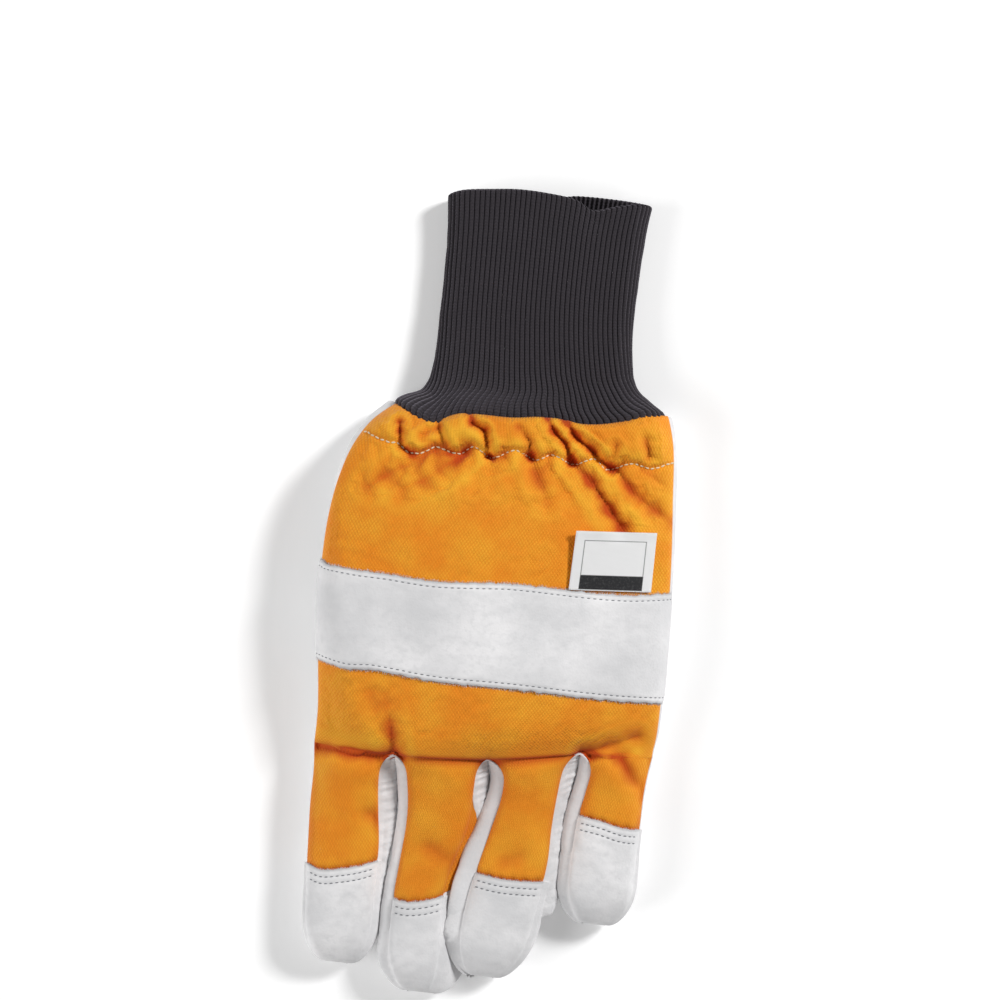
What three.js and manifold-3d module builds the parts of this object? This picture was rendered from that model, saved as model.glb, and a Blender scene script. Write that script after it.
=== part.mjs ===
// A left-hand chainsaw work glove, lying palm down with its thumb folded under the palm.
// It is sewn from a padded textile back, textile finger backs, a leather knuckle band, leather
// fingertip caps, a one-piece leather palm with the finger fronts, leather gussets between the
// fingers, a leather thumb, a woven label and a rib-knit cuff. Every piece is a wall with the
// hollow for the hand inside it, and pieces that are sewn together keep a small seam gap.
// Units are millimetres, +Z is up, +Y runs to the cuff and the fingertips point along -Y.
import * as THREE from 'three';
import Module from 'manifold-3d';
import { mergeVertices } from 'three/addons/utils/BufferGeometryUtils.js';

const wasm = await Module();
wasm.setup();

// Hand
const HAND_LENGTH = 131; // finger seam to cuff seam
const PALM_WIDTH = 135;
const HAND_HEIGHT = 30; // padded back above the table, away from the thumb
const WRIST_HEIGHT = 26; // back above the table at the cuff seam
const SIDE_SEAM_HEIGHT = 15; // side seam between back and palm
const SIDE_STRIP = 5; // widest leather strip that shows beside the back panel

// Fingers: width at the root, length from the finger seam, length of the leather cap
const FINGERS = [
  { name: 'index', width: 32.2, length: 81.5, cap: 36.6 },
  { name: 'middle', width: 35.1, length: 89.9, cap: 34.8 },
  { name: 'ring', width: 34.2, length: 85.4, cap: 38.8 },
  { name: 'little', width: 29.2, length: 64.4, cap: 38.8 },
];
const FINGER_HEIGHT = 20.5;
const SEAM_HEIGHT = 14.5; // seam between finger back and gusset
const CORNER_HEIGHT = 4; // seam between gusset and palm
const ROLL_WIDTH = 3.8; // gusset leather that rolls over onto the back
const CORNER_INSET = 3; // gusset leather that turns under to the palm
const CROTCH_ROUND = 8; // length over which the roll opens out below a crotch
const TUCK = 7.5; // how far the ring finger lies over the middle finger
const TIP_ROUND = 18; // length of the rounded fingertip
const LITTLE_SET_BACK = 8; // the little finger's root lies this much closer to the wrist

// Thumb, folded flat under the palm
const THUMB_LENGTH = 96;
const THUMB_WIDTH = 37;
const THUMB_HEIGHT = 13;
const THUMB_MARGIN = 3; // level run of the palm beside the thumb
const THUMB_SLOPE = 13; // run over which the palm comes down to the table
const BACK_SLOPE = 55; // run over which the back's swelling above the thumb fades
const BACK_SWELL = 0.35; // share of the thumb's height that shows on the back
const THUMB_OPENING_WIDTH = 22;
const THUMB_OPENING_LENGTH = 34;

// Cuff
const CUFF_LENGTH = 83.5;
const CUFF_WIDTH = 74; // flat width at the narrowest place
const CUFF_HEIGHT = 14.5;
const CUFF_MOUTH_DIP = 3; // the upper layer's edge dips where the mouth gapes
const CUFF_CORNER_DROP = 2.6; // the mouth lies this much lower at its index-side corner
const RIB_COUNT = 88;
const RIB_DEPTH = 0.6;

// Band and label
const BAND_WIDTH = 37.5;
const BAND_FROM_SEAM = 29.5; // finger seam to the band's lower edge
const BAND_FLARE = 2.5; // how far the band's upper edge rises at its ends
const BAND_END = 0.035; // share of the outer fingers' width that the band leaves free
const LABEL_WIDTH = 30.8;
const LABEL_LENGTH = 22.5;
const LABEL_FROM_SIDE = 8.4; // right outline to the label's edge

// Folds of the back
const FOLD_DEPTH = 3;
const FOLD_WIDTH = 4.6;

// Walls and gaps
const PADDED_WALL = 5;
const TEXTILE_WALL = 2;
const LEATHER_WALL = 1.4;
const KNIT_WALL = 2.4;
const LABEL_WALL = 0.5;
const SEAM_GAP = 0.5;
const JOINT_GAP = 0.3;
const CUFF_GAP = 0.6;
const BAND_GAP = 0.45;
const THUMB_CLEARANCE = 0.5;
const CORNER_TRIM = 0.6; // extra inset of a finger back's corner beside a crotch, in walls

// Hand outline: distance from the finger seam as a share of HAND_LENGTH, left and right edge
// as shares of PALM_WIDTH, visible leather strips as shares of SIDE_STRIP, back and side seam
// as shares of HAND_HEIGHT and SIDE_SEAM_HEIGHT
const HAND_ROWS = [
  { along: 0.0, left: -0.474, right: 0.484, stripLeft: 0.12, stripRight: 0.14, back: 0.8, seam: 0.8 },
  { along: 0.1, left: -0.475, right: 0.492, stripLeft: 0.12, stripRight: 0.22, back: 0.94, seam: 0.88 },
  { along: 0.25, left: -0.49, right: 0.495, stripLeft: 0.12, stripRight: 0.3, back: 1.0, seam: 0.95 },
  { along: 0.45, left: -0.508, right: 0.49, stripLeft: 0.14, stripRight: 0.32, back: 1.02, seam: 1.0 },
  { along: 0.65, left: -0.507, right: 0.48, stripLeft: 0.2, stripRight: 0.34, back: 1.0, seam: 1.02 },
  { along: 0.82, left: -0.484, right: 0.467, stripLeft: 0.42, stripRight: 0.4, back: 0.95, seam: 1.0 },
  { along: 0.92, left: -0.446, right: 0.455, stripLeft: 0.7, stripRight: 0.42, back: 0.9, seam: 0.95 },
  { along: 1.0, left: -0.375, right: 0.43, stripLeft: 0.8, stripRight: 0.42, back: 0.867, seam: 0.9 },
];

// Finger outlines: distance from the root as a share of the length, left and right edge as
// shares of the finger's root width from its centre line, gusset leather that shows beside the
// back as shares of ROLL_WIDTH
const FINGER_ROWS = [
  [
    { along: 0.0, left: -0.489, right: 0.5, rollLeft: 0.15, rollRight: 1.3 },
    { along: 0.13, left: -0.461, right: 0.489, rollLeft: 0.15, rollRight: 1.3 },
    { along: 0.28, left: -0.458, right: 0.492, rollLeft: 0.15, rollRight: 1.0 },
    { along: 0.42, left: -0.439, right: 0.492, rollLeft: 0.15, rollRight: 0.62 },
    { along: 0.55, left: -0.418, right: 0.489, rollLeft: 0.15, rollRight: 0.5 },
    { along: 0.7, left: -0.388, right: 0.502, rollLeft: 0.15, rollRight: 0.6 },
    { along: 0.85, left: -0.357, right: 0.514, rollLeft: 0.15, rollRight: 0.7 },
    { along: 1.0, left: -0.34, right: 0.5, rollLeft: 0.15, rollRight: 0.7 },
  ],
  [
    { along: 0.0, left: -0.5, right: 0.5, rollLeft: 0.85, rollRight: 0.9 },
    { along: 0.06, left: -0.459, right: 0.48, rollLeft: 0.85, rollRight: 0.9 },
    { along: 0.2, left: -0.402, right: 0.468, rollLeft: 0.82, rollRight: 0.85 },
    { along: 0.31, left: -0.393, right: 0.468, rollLeft: 0.8, rollRight: 0.85 },
    { along: 0.46, left: -0.4245, right: 0.472, rollLeft: 0.85, rollRight: 0.9 },
    { along: 0.6, left: -0.4615, right: 0.49, rollLeft: 1.0, rollRight: 0.9 },
    { along: 0.76, left: -0.466, right: 0.512, rollLeft: 1.05, rollRight: 0.9 },
    { along: 1.0, left: -0.42, right: 0.525, rollLeft: 1.0, rollRight: 0.9 },
  ],
  [
    { along: 0.0, left: -0.5, right: 0.5, rollLeft: 1.25, rollRight: 0.9 },
    { along: 0.08, left: -0.449, right: 0.432, rollLeft: 1.25, rollRight: 0.9 },
    { along: 0.18, left: -0.462, right: 0.408, rollLeft: 1.3, rollRight: 0.95 },
    { along: 0.33, left: -0.577, right: 0.402, rollLeft: 1.65, rollRight: 1.1 },
    { along: 0.48, left: -0.68, right: 0.4, rollLeft: 1.8, rollRight: 1.1 },
    { along: 0.63, left: -0.747, right: 0.332, rollLeft: 1.7, rollRight: 0.9 },
    { along: 0.8, left: -0.758, right: 0.24, rollLeft: 1.5, rollRight: 0.7 },
    { along: 1.0, left: -0.74, right: 0.13, rollLeft: 1.3, rollRight: 0.6 },
  ],
  [
    { along: 0.0, left: -0.5, right: 0.463, rollLeft: 1.1, rollRight: 0.18 },
    { along: 0.1, left: -0.484, right: 0.43, rollLeft: 1.1, rollRight: 0.18 },
    { along: 0.23, left: -0.529, right: 0.407, rollLeft: 1.15, rollRight: 0.18 },
    { along: 0.38, left: -0.594, right: 0.405, rollLeft: 1.2, rollRight: 0.18 },
    { along: 0.55, left: -0.604, right: 0.402, rollLeft: 1.1, rollRight: 0.18 },
    { along: 0.7, left: -0.596, right: 0.408, rollLeft: 1.0, rollRight: 0.18 },
    { along: 0.85, left: -0.59, right: 0.415, rollLeft: 1.0, rollRight: 0.18 },
    { along: 1.0, left: -0.55, right: 0.41, rollLeft: 0.9, rollRight: 0.18 },
  ],
];

// Cuff: distance from its seam as a share of CUFF_LENGTH, left and right edge as shares of
// CUFF_WIDTH, thickness as a share of CUFF_HEIGHT
const CUFF_ROWS = [
  { along: 0.0, left: -0.637, right: 0.735, height: 1.7 },
  { along: 0.035, left: -0.637, right: 0.737, height: 1.68 },
  { along: 0.08, left: -0.59, right: 0.67, height: 1.56 },
  { along: 0.14, left: -0.51, right: 0.6, height: 1.4 },
  { along: 0.24, left: -0.475, right: 0.555, height: 1.2 },
  { along: 0.5, left: -0.467, right: 0.53, height: 1.0 },
  { along: 0.85, left: -0.478, right: 0.54, height: 0.96 },
  { along: 1.0, left: -0.495, right: 0.557, height: 1.0 },
];

// Cuff seam: place as a share of PALM_WIDTH, how far it lies beyond the hand's length
const WRIST_ROWS = [
  { along: -0.4, beyond: 1.5 },
  { along: -0.34, beyond: 0.2 },
  { along: -0.25, beyond: -3.0 },
  { along: -0.16, beyond: -1.6 },
  { along: 0.0, beyond: -0.6 },
  { along: 0.13, beyond: 0.8 },
  { along: 0.22, beyond: 0.4 },
  { along: 0.32, beyond: 4.4 },
  { along: 0.44, beyond: 7.0 },
];

// Folds and puckers of the back: from one place to another as shares of PALM_WIDTH and
// HAND_LENGTH, depth as a share of FOLD_DEPTH, width as a share of FOLD_WIDTH
const FOLDS = [
  { across: -0.37, along: 0.9, toAcross: -0.355, toAlong: 0.84, depth: 0.5, width: 0.9 },
  { across: -0.31, along: 1.0, toAcross: -0.303, toAlong: 0.86, depth: 0.8, width: 1.0 },
  { across: -0.22, along: 1.0, toAcross: -0.2, toAlong: 0.875, depth: 0.9, width: 1.0 },
  { across: -0.13, along: 1.0, toAcross: -0.085, toAlong: 0.87, depth: 1.0, width: 1.0 },
  { across: -0.045, along: 1.0, toAcross: -0.03, toAlong: 0.9, depth: 0.4, width: 1.0 },
  { across: 0.028, along: 1.0, toAcross: 0.045, toAlong: 0.87, depth: 0.7, width: 1.0 },
  { across: 0.075, along: 1.02, toAcross: 0.145, toAlong: 0.88, depth: 0.8, width: 1.0 },
  { across: 0.13, along: 1.02, toAcross: 0.25, toAlong: 0.87, depth: 1.0, width: 1.1 },
  { across: 0.27, along: 1.02, toAcross: 0.34, toAlong: 0.92, depth: 0.5, width: 1.0 },
  { across: 0.193, along: 0.88, toAcross: 0.307, toAlong: 0.72, depth: 0.7, width: 1.4 },
  { across: 0.268, along: 0.866, toAcross: 0.42, toAlong: 0.75, depth: 0.6, width: 1.3 },
  { across: 0.03, along: 0.88, toAcross: 0.083, toAlong: 0.8, depth: 0.5, width: 1.3 },
  { across: -0.163, along: 0.868, toAcross: -0.31, toAlong: 0.737, depth: 0.6, width: 1.5 },
  { across: -0.251, along: 0.867, toAcross: -0.35, toAlong: 0.817, depth: 0.5, width: 1.2 },
  { across: -0.244, along: 0.02, toAcross: -0.276, toAlong: 0.17, depth: 0.8, width: 1.6 },
  { across: 0.289, along: 0.06, toAcross: 0.42, toAlong: 0.127, depth: 0.6, width: 1.5 },
];

// Thumb: distance from its heel as a share of THUMB_LENGTH, half width and height as shares
const THUMB_ROWS = [
  { along: 0.0, half: 0.0, height: 0.0 },
  { along: 0.03, half: 0.5, height: 0.55 },
  { along: 0.1, half: 0.86, height: 0.9 },
  { along: 0.25, half: 1.0, height: 1.0 },
  { along: 0.5, half: 0.98, height: 1.0 },
  { along: 0.75, half: 0.88, height: 1.0 },
  { along: 0.9, half: 0.7, height: 0.88 },
  { along: 0.97, half: 0.42, height: 0.55 },
  { along: 1.0, half: 0.0, height: 0.0 },
];
// Thumb axis on the table, as shares of PALM_WIDTH and HAND_LENGTH
const THUMB_HEEL = { across: -0.33, along: 0.83 };
const THUMB_LEAN = 0.2;
const THUMB_OPENING_ALONG = 0.3;

// Where the grid lines of the sheets run
const FINGER_STATIONS = [0, 0.02, 0.05, 0.1, 0.22, 0.38, 0.55, 0.7, 0.84, 0.93, 0.98, 1];
const HAND_STATIONS = [0, 0.02, 0.055, 0.11, 0.2, 0.32, 0.45, 0.58, 0.69, 0.77, 0.83, 0.88, 0.92, 0.96, 1];
const PALM_STATIONS = [0, 0.02, 0.055, 0.11, 0.2, 0.32, 0.45, 0.58, 0.69, 0.79, 0.88, 0.95, 1];
const TOP_STATIONS = [0, 0.07, 0.18, 0.34, 0.5, 0.66, 0.82, 0.93, 1];
const BOTTOM_STATIONS = [0, 0.12, 0.3, 0.7, 0.88, 1];
const SIDE_STATIONS = [0, 0.35, 0.7, 1];
const GUSSET_END = 0.98; // side walls of the fingers stop here, just before the tip closes
const FLAT_SHARE = 0.4; // middle share of a finger front that lies flat
const CROWN_POWER = 2.6;
const CROWN_ROOT = 0.5;
const PUFF = 0.09; // share of the hand's length in which the back rises from the finger seam

const mix = THREE.MathUtils.lerp;
const clamp = THREE.MathUtils.clamp;
const smooth = (share) => THREE.MathUtils.smoothstep(share, 0, 1);

// Value of one column of a table at a place between its rows, on a smooth curve
function column(rows, name, along) {
  const found = rows.findIndex((row) => row.along >= along);
  const after = found < 0 ? rows.length - 1 : Math.max(found, 1);
  const [a, b] = [rows[after - 1], rows[after]];
  const share = clamp((along - a.along) / (b.along - a.along), 0, 1);
  const slope = (i) => {
    const before = rows[Math.max(i - 1, 0)];
    const next = rows[Math.min(i + 1, rows.length - 1)];
    return (next[name] - before[name]) / (next.along - before.along);
  };
  const span = b.along - a.along;
  const s2 = share * share;
  const s3 = s2 * share;
  return (2 * s3 - 3 * s2 + 1) * a[name] + (s3 - 2 * s2 + share) * span * slope(after - 1)
    + (3 * s2 - 2 * s3) * b[name] + (s3 - s2) * span * slope(after);
}

// Crotches and outer corners of the finger seam, from the index side to the little side
const rootWidth = FINGERS.reduce((sum, finger) => sum + finger.width, 0);
const rootX = [-rootWidth / 2 + 1];
FINGERS.forEach((finger) => rootX.push(rootX.at(-1) + finger.width));
const ROOT_SET_BACK = [0, -0.1, 0.16, 0.9, 1.06];
const rootY = ROOT_SET_BACK.map((share) => share * LITTLE_SET_BACK);

// Opening of the roll below a crotch, 0 at the crotch and 1 where it is full
const rollOpening = (distance) => Math.sqrt(1 - (1 - clamp(distance / CROTCH_ROUND, 0, 1)) ** 2);

// A section across a finger or the hand. Its outline has a flat bottom run, two side walls
// and a crowned top run. Depth moves the whole outline inwards by a wall's thickness.
function fingerSection(f, along, depth) {
  const finger = FINGERS[f];
  const rows = FINGER_ROWS[f];
  const rounded = clamp((along - 1 + TIP_ROUND / finger.length) * finger.length / TIP_ROUND, 0, 1);
  const widthLeft = 0.32 + 0.68 * Math.sqrt(1 - rounded ** 2.3);
  const heightLeft = Math.sqrt(Math.max(0, 1 - rounded ** 2.4));
  const centre = (rootX[f] + rootX[f + 1]) / 2;
  const left = centre + finger.width * column(rows, 'left', along) + depth;
  const right = centre + finger.width * column(rows, 'right', along) - depth;
  const middle = (left + right) / 2;
  const half = ((right - left) / 2) * widthLeft;
  const opening = rollOpening(along * finger.length);
  const tuckLeft = f === 2 ? smooth((along - 0.22) / 0.4) : 0;
  const tuckRight = f === 1 ? smooth((along - 0.22) / 0.4) : 0;
  const midHeight = FINGER_HEIGHT * 0.45;
  const height = (z, inward) => midHeight + (z - midHeight + inward * depth) * heightLeft;
  const outer = (side) => (side === 'left' ? f === 0 : f === FINGERS.length - 1);
  const roll = { left: column(rows, 'rollLeft', along), right: column(rows, 'rollRight', along) };
  const side = (name, over, under) => ({
    seamInset: (ROLL_WIDTH * roll[name] + TUCK * under) * (outer(name) ? 1 : opening) * widthLeft,
    cornerInset: (CORNER_INSET + TUCK * over) * (outer(name) ? 1 : opening) * widthLeft,
    seam: height(outer(name) ? SIDE_SEAM_HEIGHT * 0.8 : SEAM_HEIGHT, -1),
    corner: height(CORNER_HEIGHT, 1),
    widest: mix(0.5, over > 0 ? 0.95 : 0.1, Math.max(over, under)),
    power: mix(2, 1, Math.max(over, under)),
  });
  return {
    left: middle - half,
    right: middle + half,
    top: height(FINGER_HEIGHT * mix(1, 0.88, along), -1),
    bottom: height(0, 1),
    leftSide: side('left', tuckLeft, 0),
    rightSide: side('right', 0, tuckRight),
  };
}

function handSection(along, depth) {
  const value = (name) => column(HAND_ROWS, name, along);
  const seam = SIDE_SEAM_HEIGHT * value('seam') - depth;
  const side = (strip) => ({
    seamInset: SIDE_STRIP * strip,
    cornerInset: CORNER_INSET,
    seam,
    corner: CORNER_HEIGHT + depth,
    widest: 0.5,
    power: 2,
  });
  return {
    left: PALM_WIDTH * value('left') + depth,
    right: PALM_WIDTH * value('right') - depth,
    top: mix(HAND_HEIGHT, WRIST_HEIGHT / 0.82, smooth(along)) * value('back') - depth,
    bottom: depth,
    leftSide: side(value('stripLeft')),
    rightSide: side(value('stripRight')),
  };
}

// Points of a section: x and z
const crown = (share) => (1 - Math.abs(2 * share - 1) ** CROWN_POWER) ** CROWN_ROOT;
function topPoint(section, share) {
  const from = section.left + section.leftSide.seamInset;
  const to = section.right - section.rightSide.seamInset;
  const seam = mix(section.leftSide.seam, section.rightSide.seam, share);
  return [mix(from, to, share), seam + (section.top - seam) * crown(share)];
}
function bottomPoint(section, share) {
  const from = section.left + section.leftSide.cornerInset;
  const to = section.right - section.rightSide.cornerInset;
  const corner = mix(section.leftSide.corner, section.rightSide.corner, share);
  const rise = clamp((Math.abs(2 * share - 1) - FLAT_SHARE) / (1 - FLAT_SHARE), 0, 1) ** 2;
  return [mix(from, to, share), mix(section.bottom, corner, rise)];
}
function sidePoint(section, name, share) {
  const side = name === 'left' ? section.leftSide : section.rightSide;
  const { widest, power } = side;
  const inset = share < widest
    ? side.cornerInset * ((widest - share) / widest) ** power
    : side.seamInset * ((share - widest) / (1 - widest)) ** power;
  const x = name === 'left' ? section.left + inset : section.right - inset;
  return [x, mix(side.corner, side.seam, share)];
}

// Cuff seam across the glove
const wristY = (x) => HAND_LENGTH + column(WRIST_ROWS, 'beyond', x / PALM_WIDTH);
// Rows of the hand run straight across and bend to the finger seam and the cuff seam
function handY(root, x, along) {
  const fromRoot = root * (1 - smooth(along / 0.2));
  const beyond = (wristY(x) - HAND_LENGTH) * smooth((along - 0.78) / 0.22);
  return HAND_LENGTH * along + fromRoot + beyond;
}

// How far the thumb raises what lies over it: fully up to a margin, then down a slope
const heel = new THREE.Vector2(THUMB_HEEL.across * PALM_WIDTH, THUMB_HEEL.along * HAND_LENGTH);
const thumbWay = new THREE.Vector2(THUMB_LEAN, -1).normalize();
function lift(x, y, margin, slope) {
  const from = new THREE.Vector2(x, y).sub(heel);
  const end = THUMB_WIDTH * 0.3;
  const reach = clamp(from.dot(thumbWay), end, THUMB_LENGTH - end);
  const aside = from.sub(thumbWay.clone().multiplyScalar(reach)).length();
  return (THUMB_HEIGHT + THUMB_CLEARANCE) * smooth((THUMB_WIDTH / 2 + margin + slope - aside) / slope);
}
// The palm lies close over the thumb, and the padded back only swells above it
function settle(x, y, z, layer) {
  const raised = z + layer * SEAM_GAP;
  const close = lift(x, y, THUMB_MARGIN, THUMB_SLOPE);
  const swell = BACK_SWELL * lift(x, y, 0, BACK_SLOPE);
  return new THREE.Vector3(x, y, raised + mix(close, swell, clamp(raised / HAND_HEIGHT, 0, 1)));
}

// Depth of the folds and puckers of the back at a place on the hand
function folds(x, y) {
  return FOLDS.reduce((sum, fold) => {
    const from = new THREE.Vector2(fold.across * PALM_WIDTH, fold.along * HAND_LENGTH);
    const way = new THREE.Vector2(fold.toAcross * PALM_WIDTH, fold.toAlong * HAND_LENGTH).sub(from);
    const place = new THREE.Vector2(x, y).sub(from);
    const share = clamp(place.dot(way) / way.lengthSq(), 0, 1);
    const aside = place.addScaledVector(way, -share).length();
    return sum + FOLD_DEPTH * fold.depth * Math.exp(-((aside / (FOLD_WIDTH * fold.width)) ** 2));
  }, 0);
}

// Solid from a sheet: points with an outer and an inner place, and faces seen from outside
function thicken(points, faces) {
  const position = [];
  points.forEach(({ outer }) => position.push(...outer.toArray()));
  points.forEach(({ inner }) => position.push(...inner.toArray()));
  const index = [];
  const count = points.length;
  const sides = new Map();
  faces.forEach((face) => {
    const corners = face.filter((corner, i) => corner !== face[(i + 1) % face.length]);
    for (let i = 1; i + 1 < corners.length; i += 1) {
      index.push(corners[0], corners[i], corners[i + 1]);
      index.push(corners[0] + count, corners[i + 1] + count, corners[i] + count);
    }
    corners.forEach((corner, i) => {
      const next = corners[(i + 1) % corners.length];
      const back = `${next}:${corner}`;
      if (!sides.delete(back)) sides.set(`${corner}:${next}`, [corner, next]);
    });
  });
  sides.forEach(([a, b]) => index.push(b, a, a + count, b, a + count, b + count));
  const geometry = new THREE.BufferGeometry();
  geometry.setAttribute('position', new THREE.Float32BufferAttribute(position, 3));
  geometry.setIndex(index);
  return geometry;
}

// Grid sheet: place(column, row) gives a point with its outer and inner place
function gridSheet(columns, rows, place) {
  const points = [];
  for (let j = 0; j < rows; j += 1) {
    for (let i = 0; i < columns; i += 1) points.push(place(i, j));
  }
  const faces = [];
  for (let j = 0; j + 1 < rows; j += 1) {
    for (let i = 0; i + 1 < columns; i += 1) {
      const at = j * columns + i;
      faces.push([at, at + 1, at + columns + 1, at + columns]);
    }
  }
  return thicken(points, faces);
}

// Stations of a finger, with one where its cap begins
const capStart = (f) => 1 - FINGERS[f].cap / FINGERS[f].length;
function fingerStations(f) {
  const start = capStart(f);
  const kept = FINGER_STATIONS.filter((along) => Math.abs(along - start) > 0.05 || along < 0.1);
  return [...kept, start].sort((a, b) => a - b);
}
// Distance of a finger station along Y; the root row follows the finger seam
function fingerY(f, along, across, depth) {
  const root = mix(rootY[f], rootY[f + 1], across);
  const tip = (rootY[f] + rootY[f + 1]) / 2 - FINGERS[f].length;
  return mix(root, tip + depth, along);
}
const atCrotch = (f, share) => (share === 0 && f > 0) || (share === 1 && f < FINGERS.length - 1);
function fingerTop(f, share, along, depth) {
  const section = fingerSection(f, along, depth);
  const [x, z] = topPoint(section, share);
  const trim = along === 0 && atCrotch(f, share) ? CORNER_TRIM * depth * (1 - 2 * share) : 0;
  return settle(x + trim, fingerY(f, along, share, depth), z, 2);
}
function fingerBottom(f, share, along, depth) {
  const section = fingerSection(f, along, depth);
  const [x, z] = bottomPoint(section, share);
  if (along === 0 && atCrotch(f, share)) return crotchPoint(f + share, z, depth, 0);
  return settle(x, fingerY(f, along, share, depth), z, 0);
}
function fingerSide(f, name, share, along, depth, layer) {
  const section = fingerSection(f, along, depth);
  const [x, z] = sidePoint(section, name, share);
  return settle(x, fingerY(f, along, name === 'left' ? 0 : 1, depth), z, layer);
}
// The wall at a crotch turns into the hand, so its depth runs along Y
function crotchPoint(crotch, z, depth, layer) {
  return settle(rootX[crotch], rootY[crotch] + depth, z, layer);
}

// Ends of the finger seam across the back, where the back meets the side seams
const seamStart = topPoint(fingerSection(0, 0, 0), 0)[0];
const seamEnd = topPoint(fingerSection(FINGERS.length - 1, 0, 0), 1)[0];

// The hand's top run at the finger seam is the row of finger backs, and above it one dome
function handTop(f, share, along, depth) {
  const turns = atCrotch(f, share);
  const seamZ = topPoint(fingerSection(f, 0, depth), share)[1];
  const outerX = topPoint(fingerSection(f, 0, 0), share)[0];
  const seamX = turns ? outerX : topPoint(fingerSection(f, 0, depth), share)[0];
  const across = clamp((outerX - seamStart) / (seamEnd - seamStart), 0, 1);
  const section = handSection(along, depth);
  const [domeX, domeZ] = topPoint(section, across);
  const blend = Math.sqrt(1 - (1 - clamp(along / PUFF, 0, 1)) ** 2);
  const x = mix(seamX, domeX, smooth(along / 0.05));
  const root = mix(rootY[f], rootY[f + 1], share);
  const turned = turns ? depth * Math.max(0, 1 - along / 0.03) : 0;
  const y = handY(root + (JOINT_GAP + turned) * (1 - along), x, along);
  const calm = smooth(along / 0.04) * smooth(Math.min(across, 1 - across) / 0.04);
  return settle(x, y, mix(seamZ, domeZ, blend) - folds(x, y) * calm, 2);
}
function handBottom(f, share, along, depth) {
  if (along === 0) return fingerBottom(f, share, along, depth);
  const [seamX, seamZ] = bottomPoint(fingerSection(f, 0, depth), share);
  const across = clamp((rootX[f] + share * FINGERS[f].width - rootX[0]) / rootWidth, 0, 1);
  const section = handSection(along, depth);
  const [flatX, flatZ] = bottomPoint(section, across);
  const blend = smooth(along / 0.08);
  const x = mix(seamX, flatX, smooth(along / 0.05));
  const y = handY(mix(rootY[f], rootY[f + 1], share), x, along);
  return settle(x, y, mix(seamZ, flatZ, blend), 0);
}
function handSide(name, share, along, depth) {
  const f = name === 'left' ? 0 : FINGERS.length - 1;
  const root = sidePoint(fingerSection(f, 0, depth), name, share);
  const dome = sidePoint(handSection(along, depth), name, share);
  const x = mix(root[0], dome[0], smooth(along / 0.05));
  const y = handY(name === 'left' ? rootY[0] : rootY.at(-1), x, along);
  return settle(x, y, mix(root[1], dome[1], smooth(along / 0.13)), 0);
}

// Padded textile back of the hand
function handBack() {
  const across = [];
  FINGERS.forEach((_, f) => TOP_STATIONS.slice(f ? 1 : 0).forEach((share) => across.push([f, share])));
  return gridSheet(across.length, HAND_STATIONS.length, (i, j) => {
    const [f, share] = across[i];
    const along = HAND_STATIONS[j];
    return { outer: handTop(f, share, along, 0), inner: handTop(f, share, along, PADDED_WALL) };
  });
}

function fingerBack(f) {
  const stations = fingerStations(f).filter((along) => along <= capStart(f)).reverse();
  stations[0] -= JOINT_GAP / FINGERS[f].length;
  return gridSheet(TOP_STATIONS.length, stations.length, (i, j) => ({
    outer: fingerTop(f, TOP_STATIONS[i], stations[j], 0),
    inner: fingerTop(f, TOP_STATIONS[i], stations[j], TEXTILE_WALL),
  }));
}

function fingertipCap(f) {
  const stations = fingerStations(f).filter((along) => along >= capStart(f)).reverse();
  return gridSheet(TOP_STATIONS.length, stations.length, (i, j) => ({
    outer: fingerTop(f, TOP_STATIONS[i], stations[j], 0),
    inner: fingerTop(f, TOP_STATIONS[i], stations[j], LEATHER_WALL),
  }));
}

// Leather wall between two fingers: down one side, round the crotch and down the other
function gusset(f) {
  const way = [];
  fingerStations(f).filter((along) => along > 0 && along <= GUSSET_END).reverse()
    .forEach((along) => way.push([f, 'right', along]));
  way.push('crotch');
  fingerStations(f + 1).filter((along) => along > 0 && along <= GUSSET_END)
    .forEach((along) => way.push([f + 1, 'left', along]));
  const place = (step, share, depth) => {
    if (step === 'crotch') {
      const [, z] = sidePoint(fingerSection(f, 0, depth), 'right', share);
      return crotchPoint(f + 1, z, depth, 1);
    }
    const [finger, name, along] = step;
    return fingerSide(finger, name, share, along, depth, 1);
  };
  const down = [...SIDE_STATIONS].reverse();
  return gridSheet(down.length, way.length, (i, j) => ({
    outer: place(way[j], down[i], 0),
    inner: place(way[j], down[i], LEATHER_WALL),
  }));
}

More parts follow.
